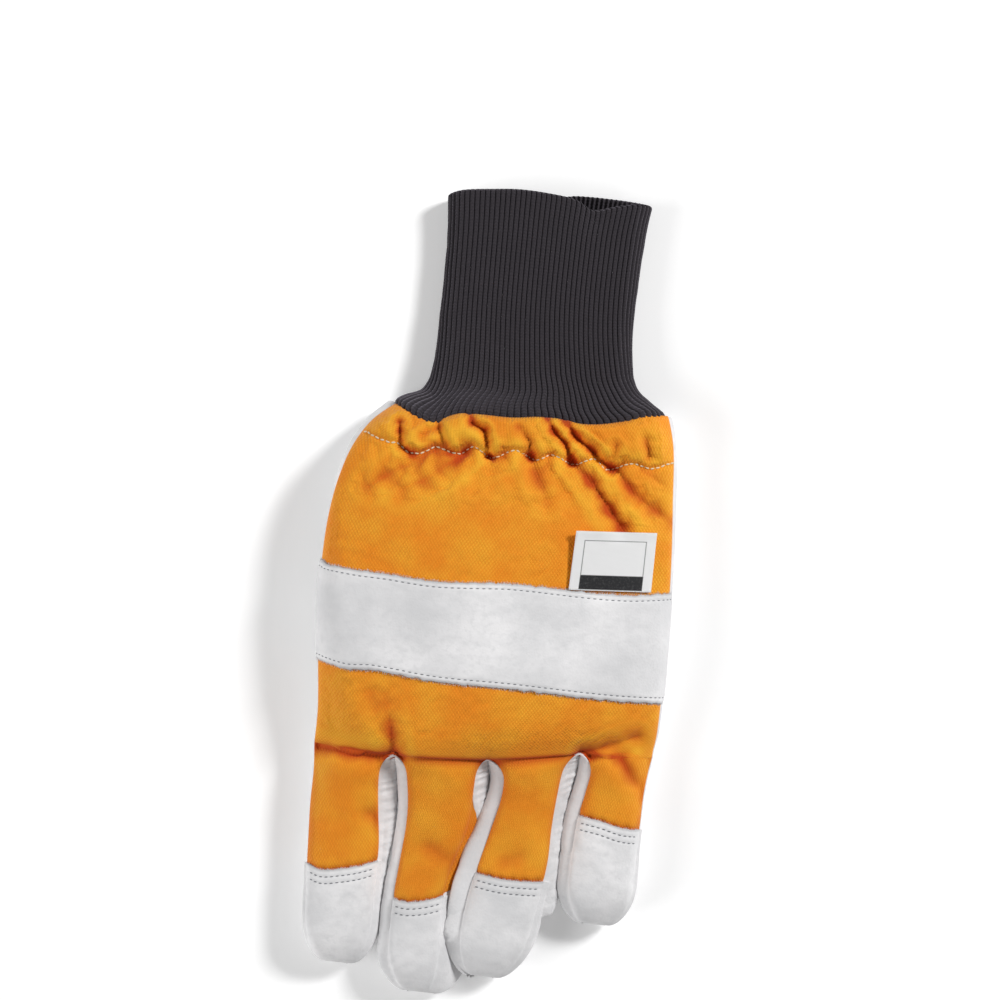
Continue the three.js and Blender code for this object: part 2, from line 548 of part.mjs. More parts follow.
// One piece of leather: the palm, the finger fronts and the outer side walls
function palm() {
  const points = [];
  const faces = [];
  const known = new Map();
  const last = FINGERS.length - 1;
  const vertex = (key, place) => {
    if (!known.has(key)) {
      known.set(key, points.length);
      points.push({ outer: place(0), inner: place(LEATHER_WALL) });
    }
    return known.get(key);
  };
  // Columns of a finger from left to right, outer side walls included
  const columns = (f) => [
    ...(f === 0 ? SIDE_STATIONS.slice(1).reverse().map((share) => ['left', share]) : []),
    ...BOTTOM_STATIONS.map((share) => ['bottom', share]),
    ...(f === last ? SIDE_STATIONS.slice(1).map((share) => ['right', share]) : []),
  ];
  const cell = (f, [name, share], rowName, along, onHand) => {
    const shared = onHand && name === 'bottom' ? `bottom ${f + share}` : `${f} ${name} ${share}`;
    return vertex(`${shared} ${rowName}`, (depth) => {
      if (name === 'bottom') return (onHand ? handBottom : fingerBottom)(f, share, along, depth);
      return onHand ? handSide(name, share, along, depth) : fingerSide(f, name, share, along, depth, 0);
    });
  };
  FINGERS.forEach((_, f) => {
    const across = columns(f);
    const rows = [
      ...fingerStations(f).slice(1).reverse().map((along) => [`finger ${along}`, along, false]),
      ...PALM_STATIONS.map((along) => [`hand ${along}`, along, true]),
    ];
    for (let j = 0; j + 1 < rows.length; j += 1) {
      for (let i = 0; i + 1 < across.length; i += 1) {
        const onSide = [across[i], across[i + 1]].some(([name]) => name !== 'bottom');
        const pastEnd = !rows[j][2] && rows[j][1] > GUSSET_END;
        if (onSide && pastEnd) continue;
        faces.push([
          cell(f, across[i], ...rows[j]),
          cell(f, across[i], ...rows[j + 1]),
          cell(f, across[i + 1], ...rows[j + 1]),
          cell(f, across[i + 1], ...rows[j]),
        ]);
      }
    }
  });
  return thicken(points, faces);
}

// A strip that lies on the back of the hand, raised above it by a gap
function onBack(across, rows, wall, clearance) {
  return gridSheet(across.length, rows.length, (i, j) => {
    const [f, share] = across[i];
    const along = rows[j](i / (across.length - 1));
    return {
      outer: handTop(f, share, along, -clearance - wall),
      inner: handTop(f, share, along, -clearance),
    };
  });
}
const bandLow = BAND_FROM_SEAM / HAND_LENGTH;
const bandHigh = (BAND_FROM_SEAM + BAND_WIDTH) / HAND_LENGTH;
const bandRise = (share) => (BAND_FLARE / HAND_LENGTH) * (2 * share - 1) ** 4;
function knuckleBand() {
  const across = [];
  FINGERS.forEach((_, f) => TOP_STATIONS.slice(f ? 1 : 0).forEach((share) => across.push([f, share])));
  across[0][1] = BAND_END;
  across.at(-1)[1] = 1 - BAND_END;
  const inside = HAND_STATIONS.filter((along) => along > bandLow + 0.02 && along < bandHigh - 0.02);
  const rows = [bandLow, ...inside, bandHigh].map((along) => {
    const rise = (along - bandLow) / (bandHigh - bandLow);
    return (share) => along + rise * bandRise(share);
  });
  return onBack(across, rows, LEATHER_WALL, BAND_GAP);
}
function sizeLabel() {
  const across = [];
  const { left, right } = handSection(bandHigh, 0);
  const steps = 5;
  for (let i = 0; i <= steps; i += 1) {
    const x = right - LABEL_FROM_SIDE - LABEL_WIDTH * (1 - i / steps);
    const place = mix(seamStart, seamEnd, (x - left) / (right - left));
    const f = place < rootX[3] ? 2 : 3;
    across.push([f, (place - rootX[f]) / FINGERS[f].width]);
  }
  const start = bandHigh + JOINT_GAP * 2 / HAND_LENGTH;
  const rows = [0, 0.35, 0.7, 1].map((step) => (share) => {
    const low = start + bandRise(mix(0.7, 0.92, share));
    return low + step * LABEL_LENGTH / HAND_LENGTH;
  });
  return onBack(across, rows, LABEL_WALL, BAND_GAP);
}

// Flattened ring of the cuff: place at a share of the way round, a stadium with round sides
function stadium(halfWidth, halfHeight, share) {
  const straight = 2 * (halfWidth - halfHeight);
  const turn = Math.PI * halfHeight;
  let way = ((share % 1) + 1) % 1 * 2 * (straight + turn);
  const side = way < straight + turn ? 1 : -1;
  if (side < 0) way -= straight + turn;
  if (way < straight) return { x: side * (way - straight / 2), z: side * halfHeight, nx: 0, nz: side };
  const angle = (way - straight) / halfHeight;
  return {
    x: side * (straight / 2 + halfHeight * Math.sin(angle)),
    z: side * halfHeight * Math.cos(angle),
    nx: side * Math.sin(angle),
    nz: side * Math.cos(angle),
  };
}
function cuffPlace(share, along, depth, rib) {
  const value = (name) => column(CUFF_ROWS, name, along);
  const half = CUFF_WIDTH * (value('right') - value('left')) / 2;
  const centre = CUFF_WIDTH * (value('right') + value('left')) / 2;
  const halfHeight = CUFF_HEIGHT * value('height') / 2;
  const { x, z, nx, nz } = stadium(half - depth, halfHeight - depth, share);
  const px = centre + x + nx * rib;
  const gape = (x / CUFF_WIDTH - 0.22) / 0.2;
  const dip = nz > 0.5 ? CUFF_MOUTH_DIP * along ** 6 * Math.exp(-(gape ** 2)) : 0;
  const drop = CUFF_CORNER_DROP * smooth(-x / half) * along;
  const y = mix(wristY(px) + CUFF_GAP, HAND_LENGTH + CUFF_LENGTH, along) - dip - drop;
  return settle(px, y, halfHeight + z + nz * rib, 0);
}
// Rib-knit tube with one outer ridge per rib and a plain inner face
function cuff() {
  const around = RIB_COUNT * 2;
  const inside = RIB_COUNT / 2;
  const rings = CUFF_ROWS.map((row) => row.along);
  const position = [];
  const index = [];
  rings.forEach((along) => {
    for (let i = 0; i < around; i += 1) {
      const rib = i % 2 ? -RIB_DEPTH / 2 : RIB_DEPTH / 2;
      position.push(...cuffPlace(i / around, along, RIB_DEPTH / 2, rib).toArray());
    }
  });
  const innerFrom = rings.length * around;
  const innerRings = rings.filter((_, j) => j % 2 === 0 || j === rings.length - 1);
  innerRings.forEach((along) => {
    for (let i = 0; i < inside; i += 1) position.push(...cuffPlace(i / inside, along, KNIT_WALL, 0).toArray());
  });
  const outerAt = (i, j) => j * around + (i % around);
  const innerAt = (i, j) => innerFrom + j * inside + (i % inside);
  for (let j = 0; j + 1 < rings.length; j += 1) {
    for (let i = 0; i < around; i += 1) {
      index.push(outerAt(i, j), outerAt(i + 1, j + 1), outerAt(i, j + 1));
      index.push(outerAt(i, j), outerAt(i + 1, j), outerAt(i + 1, j + 1));
    }
  }
  for (let j = 0; j + 1 < innerRings.length; j += 1) {
    for (let i = 0; i < inside; i += 1) {
      index.push(innerAt(i, j), innerAt(i, j + 1), innerAt(i + 1, j + 1));
      index.push(innerAt(i, j), innerAt(i + 1, j + 1), innerAt(i + 1, j));
    }
  }
  const each = around / inside;
  [false, true].forEach((mouth) => {
    const j = mouth ? rings.length - 1 : 0;
    const k = mouth ? innerRings.length - 1 : 0;
    const turn = (a, b, c) => (mouth ? index.push(a, b, c) : index.push(a, c, b));
    for (let i = 0; i < inside; i += 1) {
      for (let step = 0; step < each; step += 1) {
        const pivot = step < each / 2 ? innerAt(i, k) : innerAt(i + 1, k);
        turn(outerAt(i * each + step, j), outerAt(i * each + step + 1, j), pivot);
      }
      turn(innerAt(i, k), outerAt(i * each + each / 2, j), innerAt(i + 1, k));
    }
  });
  const geometry = new THREE.BufferGeometry();
  geometry.setAttribute('position', new THREE.Float32BufferAttribute(position, 3));
  geometry.setIndex(index);
  return geometry;
}

// Flattened pouch of the thumb at a share of the way round and along it
function thumbPlace(share, along, depth) {
  const shrink = 1 - 2 * depth / THUMB_LENGTH;
  const reach = THUMB_LENGTH * (0.5 + (along - 0.5) * shrink);
  const half = (THUMB_WIDTH / 2 - depth) * column(THUMB_ROWS, 'half', along);
  const halfHeight = (THUMB_HEIGHT / 2 - depth) * column(THUMB_ROWS, 'height', along);
  const angle = 2 * Math.PI * share;
  const round = (value) => Math.sign(value) * Math.abs(value) ** 0.62;
  const aside = half * round(Math.cos(angle));
  const z = THUMB_HEIGHT / 2 + halfHeight * round(Math.sin(angle));
  const across = new THREE.Vector2(-thumbWay.y, thumbWay.x);
  const place = heel.clone().addScaledVector(thumbWay, reach).addScaledVector(across, aside);
  return new THREE.Vector3(place.x, place.y, z);
}
// Closed surface of the thumb pouch at a depth below its outer skin
function thumbSkin(depth) {
  const around = 20;
  const rings = THUMB_ROWS.slice(1, -1).map((row) => row.along);
  const position = [thumbPlace(0, 0, depth), thumbPlace(0, 1, depth)].flatMap((p) => p.toArray());
  rings.forEach((along) => {
    for (let i = 0; i < around; i += 1) position.push(...thumbPlace(i / around, along, depth).toArray());
  });
  const at = (i, j) => 2 + j * around + (i % around);
  const index = [];
  for (let i = 0; i < around; i += 1) {
    index.push(0, at(i + 1, 0), at(i, 0));
    index.push(1, at(i, rings.length - 1), at(i + 1, rings.length - 1));
    for (let j = 0; j + 1 < rings.length; j += 1) {
      index.push(at(i, j), at(i + 1, j), at(i + 1, j + 1));
      index.push(at(i, j), at(i + 1, j + 1), at(i, j + 1));
    }
  }
  const geometry = new THREE.BufferGeometry();
  geometry.setAttribute('position', new THREE.Float32BufferAttribute(position, 3));
  geometry.setIndex(index);
  return geometry;
}

// Change between three.js geometry and solids that can be joined and cut
function solid(geometry) {
  const bare = geometry.index ? geometry.toNonIndexed() : geometry;
  Object.keys(bare.attributes).filter((name) => name !== 'position').forEach((name) => bare.deleteAttribute(name));
  const merged = mergeVertices(bare, 1e-4);
  const made = new wasm.Manifold(new wasm.Mesh({
    numProp: 3,
    vertProperties: merged.attributes.position.array,
    triVerts: new Uint32Array(merged.index.array),
  }));
  return made;
}
function geometryOf(manifold) {
  const mesh = manifold.getMesh();
  const geometry = new THREE.BufferGeometry();
  geometry.setAttribute('position', new THREE.BufferAttribute(mesh.vertProperties, 3));
  geometry.setIndex(new THREE.BufferAttribute(mesh.triVerts, 1));
  return geometry;
}
// Oval way from the hand's hollow down into the thumb
function thumbWayIn() {
  const oval = new THREE.CylinderGeometry(1, 1, HAND_HEIGHT * 0.5, 16);
  oval.rotateX(Math.PI / 2);
  oval.scale(THUMB_OPENING_WIDTH / 2, THUMB_OPENING_LENGTH / 2, 1);
  oval.rotateZ(Math.atan2(thumbWay.x, -thumbWay.y));
  const place = heel.clone().addScaledVector(thumbWay, THUMB_LENGTH * THUMB_OPENING_ALONG);
  oval.translate(place.x, place.y, THUMB_HEIGHT / 2 + HAND_HEIGHT * 0.25);
  return solid(oval);
}

const textile = new THREE.MeshStandardMaterial({ color: 0xf08a12, roughness: 0.85 });
const leather = new THREE.MeshStandardMaterial({ color: 0xd9d9dc, roughness: 0.7 });
const knit = new THREE.MeshStandardMaterial({ color: 0x2b2629, roughness: 0.95 });
const woven = new THREE.MeshStandardMaterial({ color: 0xf4f4f2, roughness: 0.8 });

const glove = new THREE.Group();
function addPiece(name, geometry, material) {
  const mesh = new THREE.Mesh(geometry, material);
  mesh.name = name;
  glove.add(mesh);
}

const wayIn = thumbWayIn();
addPiece('cuff', cuff(), knit);
addPiece('hand_back', handBack(), textile);
addPiece('knuckle_band', knuckleBand(), leather);
addPiece('size_label', sizeLabel(), woven);
addPiece('palm', geometryOf(solid(palm()).subtract(wayIn)), leather);
addPiece('thumb', geometryOf(solid(thumbSkin(0)).subtract(solid(thumbSkin(LEATHER_WALL))).subtract(wayIn)), leather);
FINGERS.forEach((finger, f) => {
  addPiece(`finger_back_${finger.name}`, fingerBack(f), textile);
  addPiece(`fingertip_${finger.name}`, fingertipCap(f), leather);
  if (f + 1 < FINGERS.length) addPiece(`gusset_${finger.name}_${FINGERS[f + 1].name}`, gusset(f), leather);
});

// The origin is the middle of the glove's footprint on the table
const box = new THREE.Box3().setFromObject(glove);
glove.position.set(-(box.min.x + box.max.x) / 2, -(box.min.y + box.max.y) / 2, -box.min.z);

export default glove;
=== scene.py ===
import math
import random
from functools import lru_cache

import bmesh
import bpy
import numpy as np
from bpy.props import FloatProperty, FloatVectorProperty, PointerProperty
from mathutils import Matrix, Vector, noise


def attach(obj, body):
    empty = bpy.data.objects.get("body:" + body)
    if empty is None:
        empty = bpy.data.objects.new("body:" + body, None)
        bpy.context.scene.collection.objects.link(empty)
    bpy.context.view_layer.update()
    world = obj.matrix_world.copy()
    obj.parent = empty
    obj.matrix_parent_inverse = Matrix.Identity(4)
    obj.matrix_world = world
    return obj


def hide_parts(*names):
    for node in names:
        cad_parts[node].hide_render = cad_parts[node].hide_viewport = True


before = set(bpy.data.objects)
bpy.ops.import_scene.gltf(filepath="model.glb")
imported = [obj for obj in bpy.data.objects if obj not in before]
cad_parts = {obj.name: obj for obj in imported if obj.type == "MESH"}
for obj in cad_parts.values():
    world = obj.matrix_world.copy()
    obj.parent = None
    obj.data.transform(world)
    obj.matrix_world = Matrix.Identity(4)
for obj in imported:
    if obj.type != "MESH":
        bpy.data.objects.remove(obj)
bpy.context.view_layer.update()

bl_info = {
    "name": "Chainsaw work glove",
    "version": (1, 0, 0),
    "blender": (4, 5, 0),
    "location": "View3D > Sidebar > Glove",
    "description": "Sewn textile, leather and knit pieces of a work glove, on its packed frame",
    "category": "Object",
}

# Sizes of the hand and fingers in millimetres, as the solids have them
HAND_LENGTH = 131.0
PALM_WIDTH = 135.0
HAND_HEIGHT = 30.0
WRIST_HEIGHT = 26.0
SIDE_SEAM_HEIGHT = 15.0
SIDE_STRIP = 5.0
FINGER_HEIGHT = 20.5
SEAM_HEIGHT = 14.5
CORNER_HEIGHT = 4.0
ROLL_WIDTH = 3.8
CORNER_INSET = 3.0
CROTCH_ROUND = 8.0
TUCK = 7.5
TIP_ROUND = 18.0
LITTLE_SET_BACK = 8.0
THUMB_WIDTH = 37.0
THUMB_LENGTH = 96.0
THUMB_HEIGHT = 13.0
THUMB_MARGIN = 3.0
THUMB_SLOPE = 13.0
BACK_SLOPE = 55.0
BACK_SWELL = 0.35
THUMB_CLEARANCE = 0.5
CUFF_LENGTH = 83.5
CUFF_WIDTH = 74.0
CUFF_HEIGHT = 14.5
RIB_COUNT = 88
SEAM_GAP = 0.5
GUSSET_END = 0.98
# The hand's middle and its finger seam in the frame
FRAME_PLACE = (1.1067, -62.42)

# How far the cloth stands up at the finger seam
ROOT_RISE = 2.4
# How deep the back's pieces go down behind the palm's edge
SEAM_ALLOWANCE = 1.9
# How far a finger's back reaches in under its cap
CAP_OVERLAP = 2.2
# Thickness of the knit, how far it lies inside the solid's outline, and its hem as a share of its length
KNIT_WALL = 2.4
KNIT_INSET = 0.3
KNIT_HEM = 0.035
# Share of a gusset's width that its rolled edge takes
LIP_END = 0.45
# How far a cap stands out past the end of its finger
TIP_PUSH = 0.8
# Both rows of stitches on a cap, from its sewn edge, and on the band, as shares of its width
CAP_ROWS = (2.6, 5.1)
BAND_ROWS = (0.053, 0.947)
# First and last stitch of the gathers, and the part of the back that the label covers
GATHER_ENDS = (-57.6, 61.0)
LABEL_REACH = ((23, 59), (66, 96))
# Laid flat, half the back's width and the band's size
HALF_BACK = 66
BAND_FLAT = (134, 37.5)
# Frames of the cloth simulation
SWELL_FRAMES = 10
# Radius of a loose fibre at its root and its end, in metres
FIBRE_RADII = (0.00007, 0.00002)
# How far a fibre leans along each axis, least and most
FIBRE_LEAN = ((-0.9, 0.9), (-0.2, 0.2), (-0.15, 0.5))
# The picture: its lens and sensor in millimetres, the width it shows in metres, and its turn
LENS, SENSOR = 100.0, 36.0
VIEW_WIDTH = 0.38
VIEW_MIDDLE = (-0.00276, 0.03656, 0.012)
VIEW_TURN = math.radians(6.5)
# Name, place, size and power of each lamp
LIGHTS = (
    ("key", (1.5, 1.2, 1.5), 0.5, 51.0),
    ("fill", (-1.7, -0.55, 1.05), 1.2, 24.0),
)
WORLD_LIGHT = 0.2
TABLE_SIZE = 3.0

FINGER_NAMES = ("index", "middle", "ring", "little")
FINGER_WIDTH = (32.2, 35.1, 34.2, 29.2)
FINGER_LENGTH = (81.5, 89.9, 85.4, 64.4)
CAP_LENGTH = (36.6, 34.8, 38.8, 38.8)


def table(names, *rows):
    return {name: [row[i] for row in rows] for i, name in enumerate(names.split())}


def curve(*points):
    """Table of an edge: places across the hand or finger, and how far away the edge is there."""
    return table("along away", *points)


HAND = table(
    "along left right strip_left strip_right back seam",
    (0.0, -0.474, 0.484, 0.12, 0.14, 0.8, 0.8),
    (0.1, -0.475, 0.492, 0.12, 0.22, 0.94, 0.88),
    (0.25, -0.49, 0.495, 0.12, 0.3, 1.0, 0.95),
    (0.45, -0.508, 0.49, 0.14, 0.32, 1.02, 1.0),
    (0.65, -0.507, 0.48, 0.2, 0.34, 1.0, 1.02),
    (0.82, -0.484, 0.467, 0.42, 0.4, 0.95, 1.0),
    (0.92, -0.446, 0.455, 0.7, 0.42, 0.9, 0.95),
    (1.0, -0.375, 0.43, 0.8, 0.42, 0.867, 0.9),
)
FINGERS = [
    table("along left right roll_left roll_right", *rows)
    for rows in (
        (
            (0.0, -0.489, 0.5, 0.15, 1.3), (0.13, -0.461, 0.489, 0.15, 1.3),
            (0.28, -0.458, 0.492, 0.15, 1.0), (0.42, -0.439, 0.492, 0.15, 0.62),
            (0.55, -0.418, 0.489, 0.15, 0.5), (0.7, -0.388, 0.502, 0.15, 0.6),
            (0.85, -0.357, 0.514, 0.15, 0.7), (1.0, -0.34, 0.5, 0.15, 0.7),
        ),
        (
            (0.0, -0.5, 0.5, 0.85, 0.9), (0.06, -0.459, 0.48, 0.85, 0.9),
            (0.2, -0.402, 0.468, 0.82, 0.85), (0.31, -0.393, 0.468, 0.8, 0.85),
            (0.46, -0.4245, 0.472, 0.85, 0.9), (0.6, -0.4615, 0.49, 1.0, 0.9),
            (0.76, -0.466, 0.512, 1.05, 0.9), (1.0, -0.42, 0.525, 1.0, 0.9),
        ),
        (
            (0.0, -0.5, 0.5, 1.25, 0.9), (0.08, -0.449, 0.432, 1.25, 0.9),
            (0.18, -0.462, 0.408, 1.3, 0.95), (0.33, -0.577, 0.402, 1.65, 1.1),
            (0.48, -0.68, 0.4, 1.8, 1.1), (0.63, -0.747, 0.332, 1.7, 0.9),
            (0.8, -0.758, 0.24, 1.5, 0.7), (1.0, -0.74, 0.13, 1.3, 0.6),
        ),
        (
            (0.0, -0.5, 0.463, 1.1, 0.18), (0.1, -0.484, 0.43, 1.1, 0.18),
            (0.23, -0.529, 0.407, 1.15, 0.18), (0.38, -0.594, 0.405, 1.2, 0.18),
            (0.55, -0.604, 0.402, 1.1, 0.18), (0.7, -0.596, 0.408, 1.0, 0.18),
            (0.85, -0.59, 0.415, 1.0, 0.18), (1.0, -0.55, 0.41, 0.9, 0.18),
        ),
    )
]
CUFF = table(
    "along left right height",
    (0.0, -0.637, 0.735, 1.7),
    (0.035, -0.637, 0.737, 1.68),
    (0.08, -0.59, 0.67, 1.56),
    (0.14, -0.51, 0.6, 1.4),
    (0.24, -0.475, 0.555, 1.2),
    (0.5, -0.467, 0.53, 1.0),
    (0.85, -0.478, 0.54, 0.96),
    (1.0, -0.495, 0.557, 1.0),
)
# Edges in millimetres across the hand: how far each lies beyond the hand's length or seam
WRIST_EDGE = curve(
    (-54.0, 1.5), (-47.1, 0.5), (-40.5, -2.3), (-33.3, -5.0), (-29.4, -4.1), (-22.6, -1.5),
    (-15.8, -1.0), (-2.8, -0.8), (7.1, 0.6), (17.1, 0.7), (22.2, -0.2), (30.1, 0.5),
    (38.8, 2.7), (46.5, 6.1), (54.4, 6.7), (59.4, 7.0),
)
GATHER_LINE = curve(
    (-58.4, 119.0), (-55.4, 118.4), (-53.7, 117.5), (-48.0, 115.9), (-43.9, 115.6), (-40.3, 113.0),
    (-34.9, 113.2), (-30.0, 116.0), (-24.7, 114.8), (-20.5, 114.6), (-15.8, 117.7), (-8.9, 114.3),
    (-0.4, 118.0), (7.9, 115.4), (13.6, 118.0), (22.0, 115.3), (29.6, 118.2), (34.5, 114.8),
    (43.7, 118.1), (51.8, 117.2), (58.6, 120.0), (61.5, 120.5),
)
BAND_TOP = curve(
    (-68.6, 69.4), (-65.3, 67.9), (-59.7, 67.4), (-52.7, 67.0), (-43.4, 66.9), (-24.8, 66.2),
    (-7.9, 67.5), (4.3, 68.5), (34.3, 68.4), (49.3, 69.1), (64.5, 71.3), (66.5, 71.6),
)
BAND_BOTTOM = curve(
    (-68.0, 32.4), (-66.1, 32.1), (-61.1, 30.9), (-53.1, 29.9), (-44.0, 30.7), (-20.6, 29.2),
    (8.8, 29.5), (43.8, 29.0), (66.8, 29.6),
)
# How far a cap's sewn edge lies beyond its mean line, toward the wrist, across the finger
CAP_EDGES = (
    curve((0.0, -0.8), (0.22, -2.0), (0.5, -0.6), (0.75, 1.2), (1.0, 3.7)),
    curve((0.0, 0.0), (0.3, -0.6), (0.65, 0.4), (1.0, 2.2)),
    curve((0.0, 1.8), (0.4, -0.4), (0.75, -1.2), (1.0, -1.6)),
    curve((0.0, 2.1), (0.35, 0.9), (0.7, -1.2), (1.0, -1.8)),
)
# Creases of the cloth: points in millimetres, depth at both ends, half width
CREASES = (
    (((-44.5, 123.4), (-43.6, 118.9), (-42.4, 115.2), (-39.1, 112.9)), 1.6, 1.6, 1.5),
    (((-35.3, 119.9), (-32.8, 121.7), (-30.3, 123.1)), 1.3, 1.0, 1.3),
    (((-29.9, 126.2), (-29.1, 122.1), (-26.7, 117.8), (-24.4, 115.0)), 1.2, 1.2, 1.3),
    (((-18.5, 129.8), (-17.3, 126.1), (-12.8, 124.0), (-11.2, 119.6), (-9.9, 114.7)), 2.0, 1.8, 1.4),
    (((-0.1, 126.6), (4.5, 122.5), (5.9, 116.9)), 0.8, 1.1, 1.6),
    (((10.4, 131.6), (13.2, 126.9), (18.3, 122.5), (20.9, 116.7)), 1.8, 2.0, 1.4),
    (((16.5, 131.9), (21.4, 125.9), (28.0, 121.4), (35.9, 115.4)), 2.2, 2.0, 1.5),
    (((36.9, 123.9), (36.2, 119.6)), 0.7, 0.9, 1.4),
    (((48.0, 127.1), (49.8, 121.5)), 0.7, 0.9, 1.5),
    (((-29.8, 114.8), (-37.6, 109.7), (-45.8, 104.2), (-52.8, 98.8)), 2.0, 0.9, 2.9),
    (((-19.1, 114.8), (-24.3, 110.4), (-31.2, 104.3), (-40.2, 98.7)), 2.4, 1.0, 3.1),
    (((5.7, 115.4), (9.6, 108.2), (13.5, 101.0)), 1.3, 0.6, 2.7),
    (((12.8, 117.3), (12.8, 113.5), (16.8, 109.0), (20.8, 104.1)), 0.9, 0.4, 1.8),
    (((23.0, 115.0), (30.2, 108.6), (36.4, 101.3), (42.2, 93.9)), 1.5, 1.8, 2.8),
    (((39.1, 114.6), (44.9, 107.6), (53.1, 102.4), (62.0, 98.1)), 1.5, 0.8, 2.8),
    (((-4.6, 115.3), (-9.2, 112.1), (-13.3, 108.2)), 1.2, 0.6, 2.2),
    (((47.7, 116.3), (56.7, 111.2)), 0.8, 0.3, 2.2),
    (((-32.8, 0.1), (-34.6, 9.4), (-37.9, 21.7)), 1.8, 0.4, 2.6),
    (((37.9, 7.4), (48.2, 11.6), (57.6, 16.1)), 1.4, 0.8, 2.2),
    (((52.9, 6.8), (57.0, 0.7), (62.3, -5.2)), 1.5, 0.5, 2.6),
    (((-62.0, -1.4), (-49.7, -2.6), (-39.0, -2.2)), 0.8, 1.0, 2.4),
    (((-44.0, 21.7), (-38.7, 9.0)), 0.5, 0.3, 2.6),
    (((-39.5, -24.4), (-34.0, -27.5)), 0.7, 0.4, 2.8),
    (((-15.5, -34.3), (-9.0, -38.0)), 0.6, 0.5, 3.2),
    (((13.5, -36.7), (19.0, -34.0)), 0.5, 0.4, 3.2),
)
# How far the cuff's open end lies beyond its length, on its upper and its lower side
MOUTH_FRONT = curve(
    (-40, -3.4), (-36.6, -2.6), (-30, -0.9), (-20, 0.5), (-9.5, 1.5), (2, 1.2), (11.7, 0.1), (16, -1.9),
    (18.2, -2.9), (21.5, -2.6), (28, -0.7), (36.4, 1.2), (42, 1.0),
)
MOUTH_BACK = curve(
    (-40, -3.4), (-30, -2.4), (-15, -0.6), (0, 0.8), (8, 1.9), (12.5, 2.7), (25, 3.0), (36, 2.6), (42, 1.4),
)
LABEL_CORNERS = ((25.3, 68.6), (56.3, 70.9), (56.1, 93.3), (25.7, 90.8))


def mix(a, b, share):
    return a + (b - a) * share


def clamp(value, low=0.0, high=1.0):
    return min(max(value, low), high)


def smooth(share):
    share = clamp(share)
    return share * share * (3 - 2 * share)


def bell(away, width):
    """Smooth bump, 1 in its middle."""
    return math.exp(-((away / width) ** 2))


def rim(share):
    """Distance from the nearer end, as a share."""
    return min(share, 1 - share)


def column(rows, name, at):
    """Value of a table's column at a place between its rows, on a smooth curve."""
    places, values = rows["along"], rows[name]
    last = len(places) - 1
    after = max(next((i for i, place in enumerate(places) if place >= at), last), 1)
    before = after - 1
    span = places[after] - places[before]
    share = clamp((at - places[before]) / span)

    def slope(i):
        low, high = max(i - 1, 0), min(i + 1, last)
        return (values[high] - values[low]) / (places[high] - places[low])

    square, cube = share**2, share**3
    return (
        (2 * cube - 3 * square + 1) * values[before]
        + (cube - 2 * square + share) * span * slope(before)
        + (3 * square - 2 * cube) * values[after]
        + (cube - square) * span * slope(after)
    )


def edge_at(edge, across):
    """How far away an edge is at a place across it."""
    return column(edge, "away", across)


ROOT_X = [1 - sum(FINGER_WIDTH) / 2]
for width in FINGER_WIDTH:
    ROOT_X.append(ROOT_X[-1] + width)
ROOT_Y = [share * LITTLE_SET_BACK for share in (0, -0.1, 0.16, 0.9, 1.06)]


def roll_opening(away):
    """How far the round crotch has opened at a distance from the finger seam, from 0 to 1."""
    return math.sqrt(max(0.0, 1 - (1 - clamp(away / CROTCH_ROUND)) ** 2))


@lru_cache(maxsize=None)
def finger_section(f, along):
    """Section across a finger: its two sides, its top and its bottom."""
    rows, width, length = FINGERS[f], FINGER_WIDTH[f], FINGER_LENGTH[f]
    rounded = clamp((along - 1 + TIP_ROUND / length) * length / TIP_ROUND)
    width_left = 0.32 + 0.68 * math.sqrt(max(0.0, 1 - rounded**2.3))
    height_left = math.sqrt(max(0.0, 1 - rounded**2.4))
    centre = (ROOT_X[f] + ROOT_X[f + 1]) / 2
    left = centre + width * column(rows, "left", along)
    right = centre + width * column(rows, "right", along)
    middle, half = (left + right) / 2, (right - left) / 2 * width_left
    opening = roll_opening(max(along, 0.0) * length)
    over = smooth((along - 0.22) / 0.4) if f == 2 else 0.0
    under = smooth((along - 0.22) / 0.4) if f == 1 else 0.0
    mid = FINGER_HEIGHT * 0.45

    def height(z):
        return mid + (z - mid) * height_left

    def side(name, outer, over, under):
        opened = 1 if outer else opening
        roll = ROLL_WIDTH * column(rows, "roll_" + name, along)
        tucked = max(over, under)
        return {
            "seam_inset": (roll + TUCK * under) * opened * width_left,
            "corner_inset": (CORNER_INSET + TUCK * over) * opened * width_left,
            "seam": height(SIDE_SEAM_HEIGHT * 0.8 if outer else SEAM_HEIGHT),
            "corner": height(CORNER_HEIGHT),
            "widest": mix(0.5, 0.95 if over > 0 else 0.1, tucked),
            "power": mix(2, 1, tucked),
        }

    return {
        "left": middle - half,
        "right": middle + half,
        "top": height(FINGER_HEIGHT * mix(1, 0.88, along)),
        "bottom": height(0),
        "left_side": side("left", f == 0, over, 0.0),
        "right_side": side("right", f == 3, 0.0, under),
    }


@lru_cache(maxsize=None)
def hand_section(along):
    """Section across the hand."""

    def side(name):
        return {
            "seam_inset": SIDE_STRIP * column(HAND, "strip_" + name, along),
            "corner_inset": CORNER_INSET,
            "seam": SIDE_SEAM_HEIGHT * column(HAND, "seam", along),
            "corner": CORNER_HEIGHT,
            "widest": 0.5,
            "power": 2,
        }

    high = mix(HAND_HEIGHT, WRIST_HEIGHT / 0.82, smooth(along))
    return {
        "left": PALM_WIDTH * column(HAND, "left", along),
        "right": PALM_WIDTH * column(HAND, "right", along),
        "top": high * column(HAND, "back", along),
        "left_side": side("left"),
        "right_side": side("right"),
    }


def crown(share):
    """Height of the rounded back across it, as a share of its rise."""
    return math.sqrt(max(0.0, 1 - abs(2 * share - 1) ** 2.6))


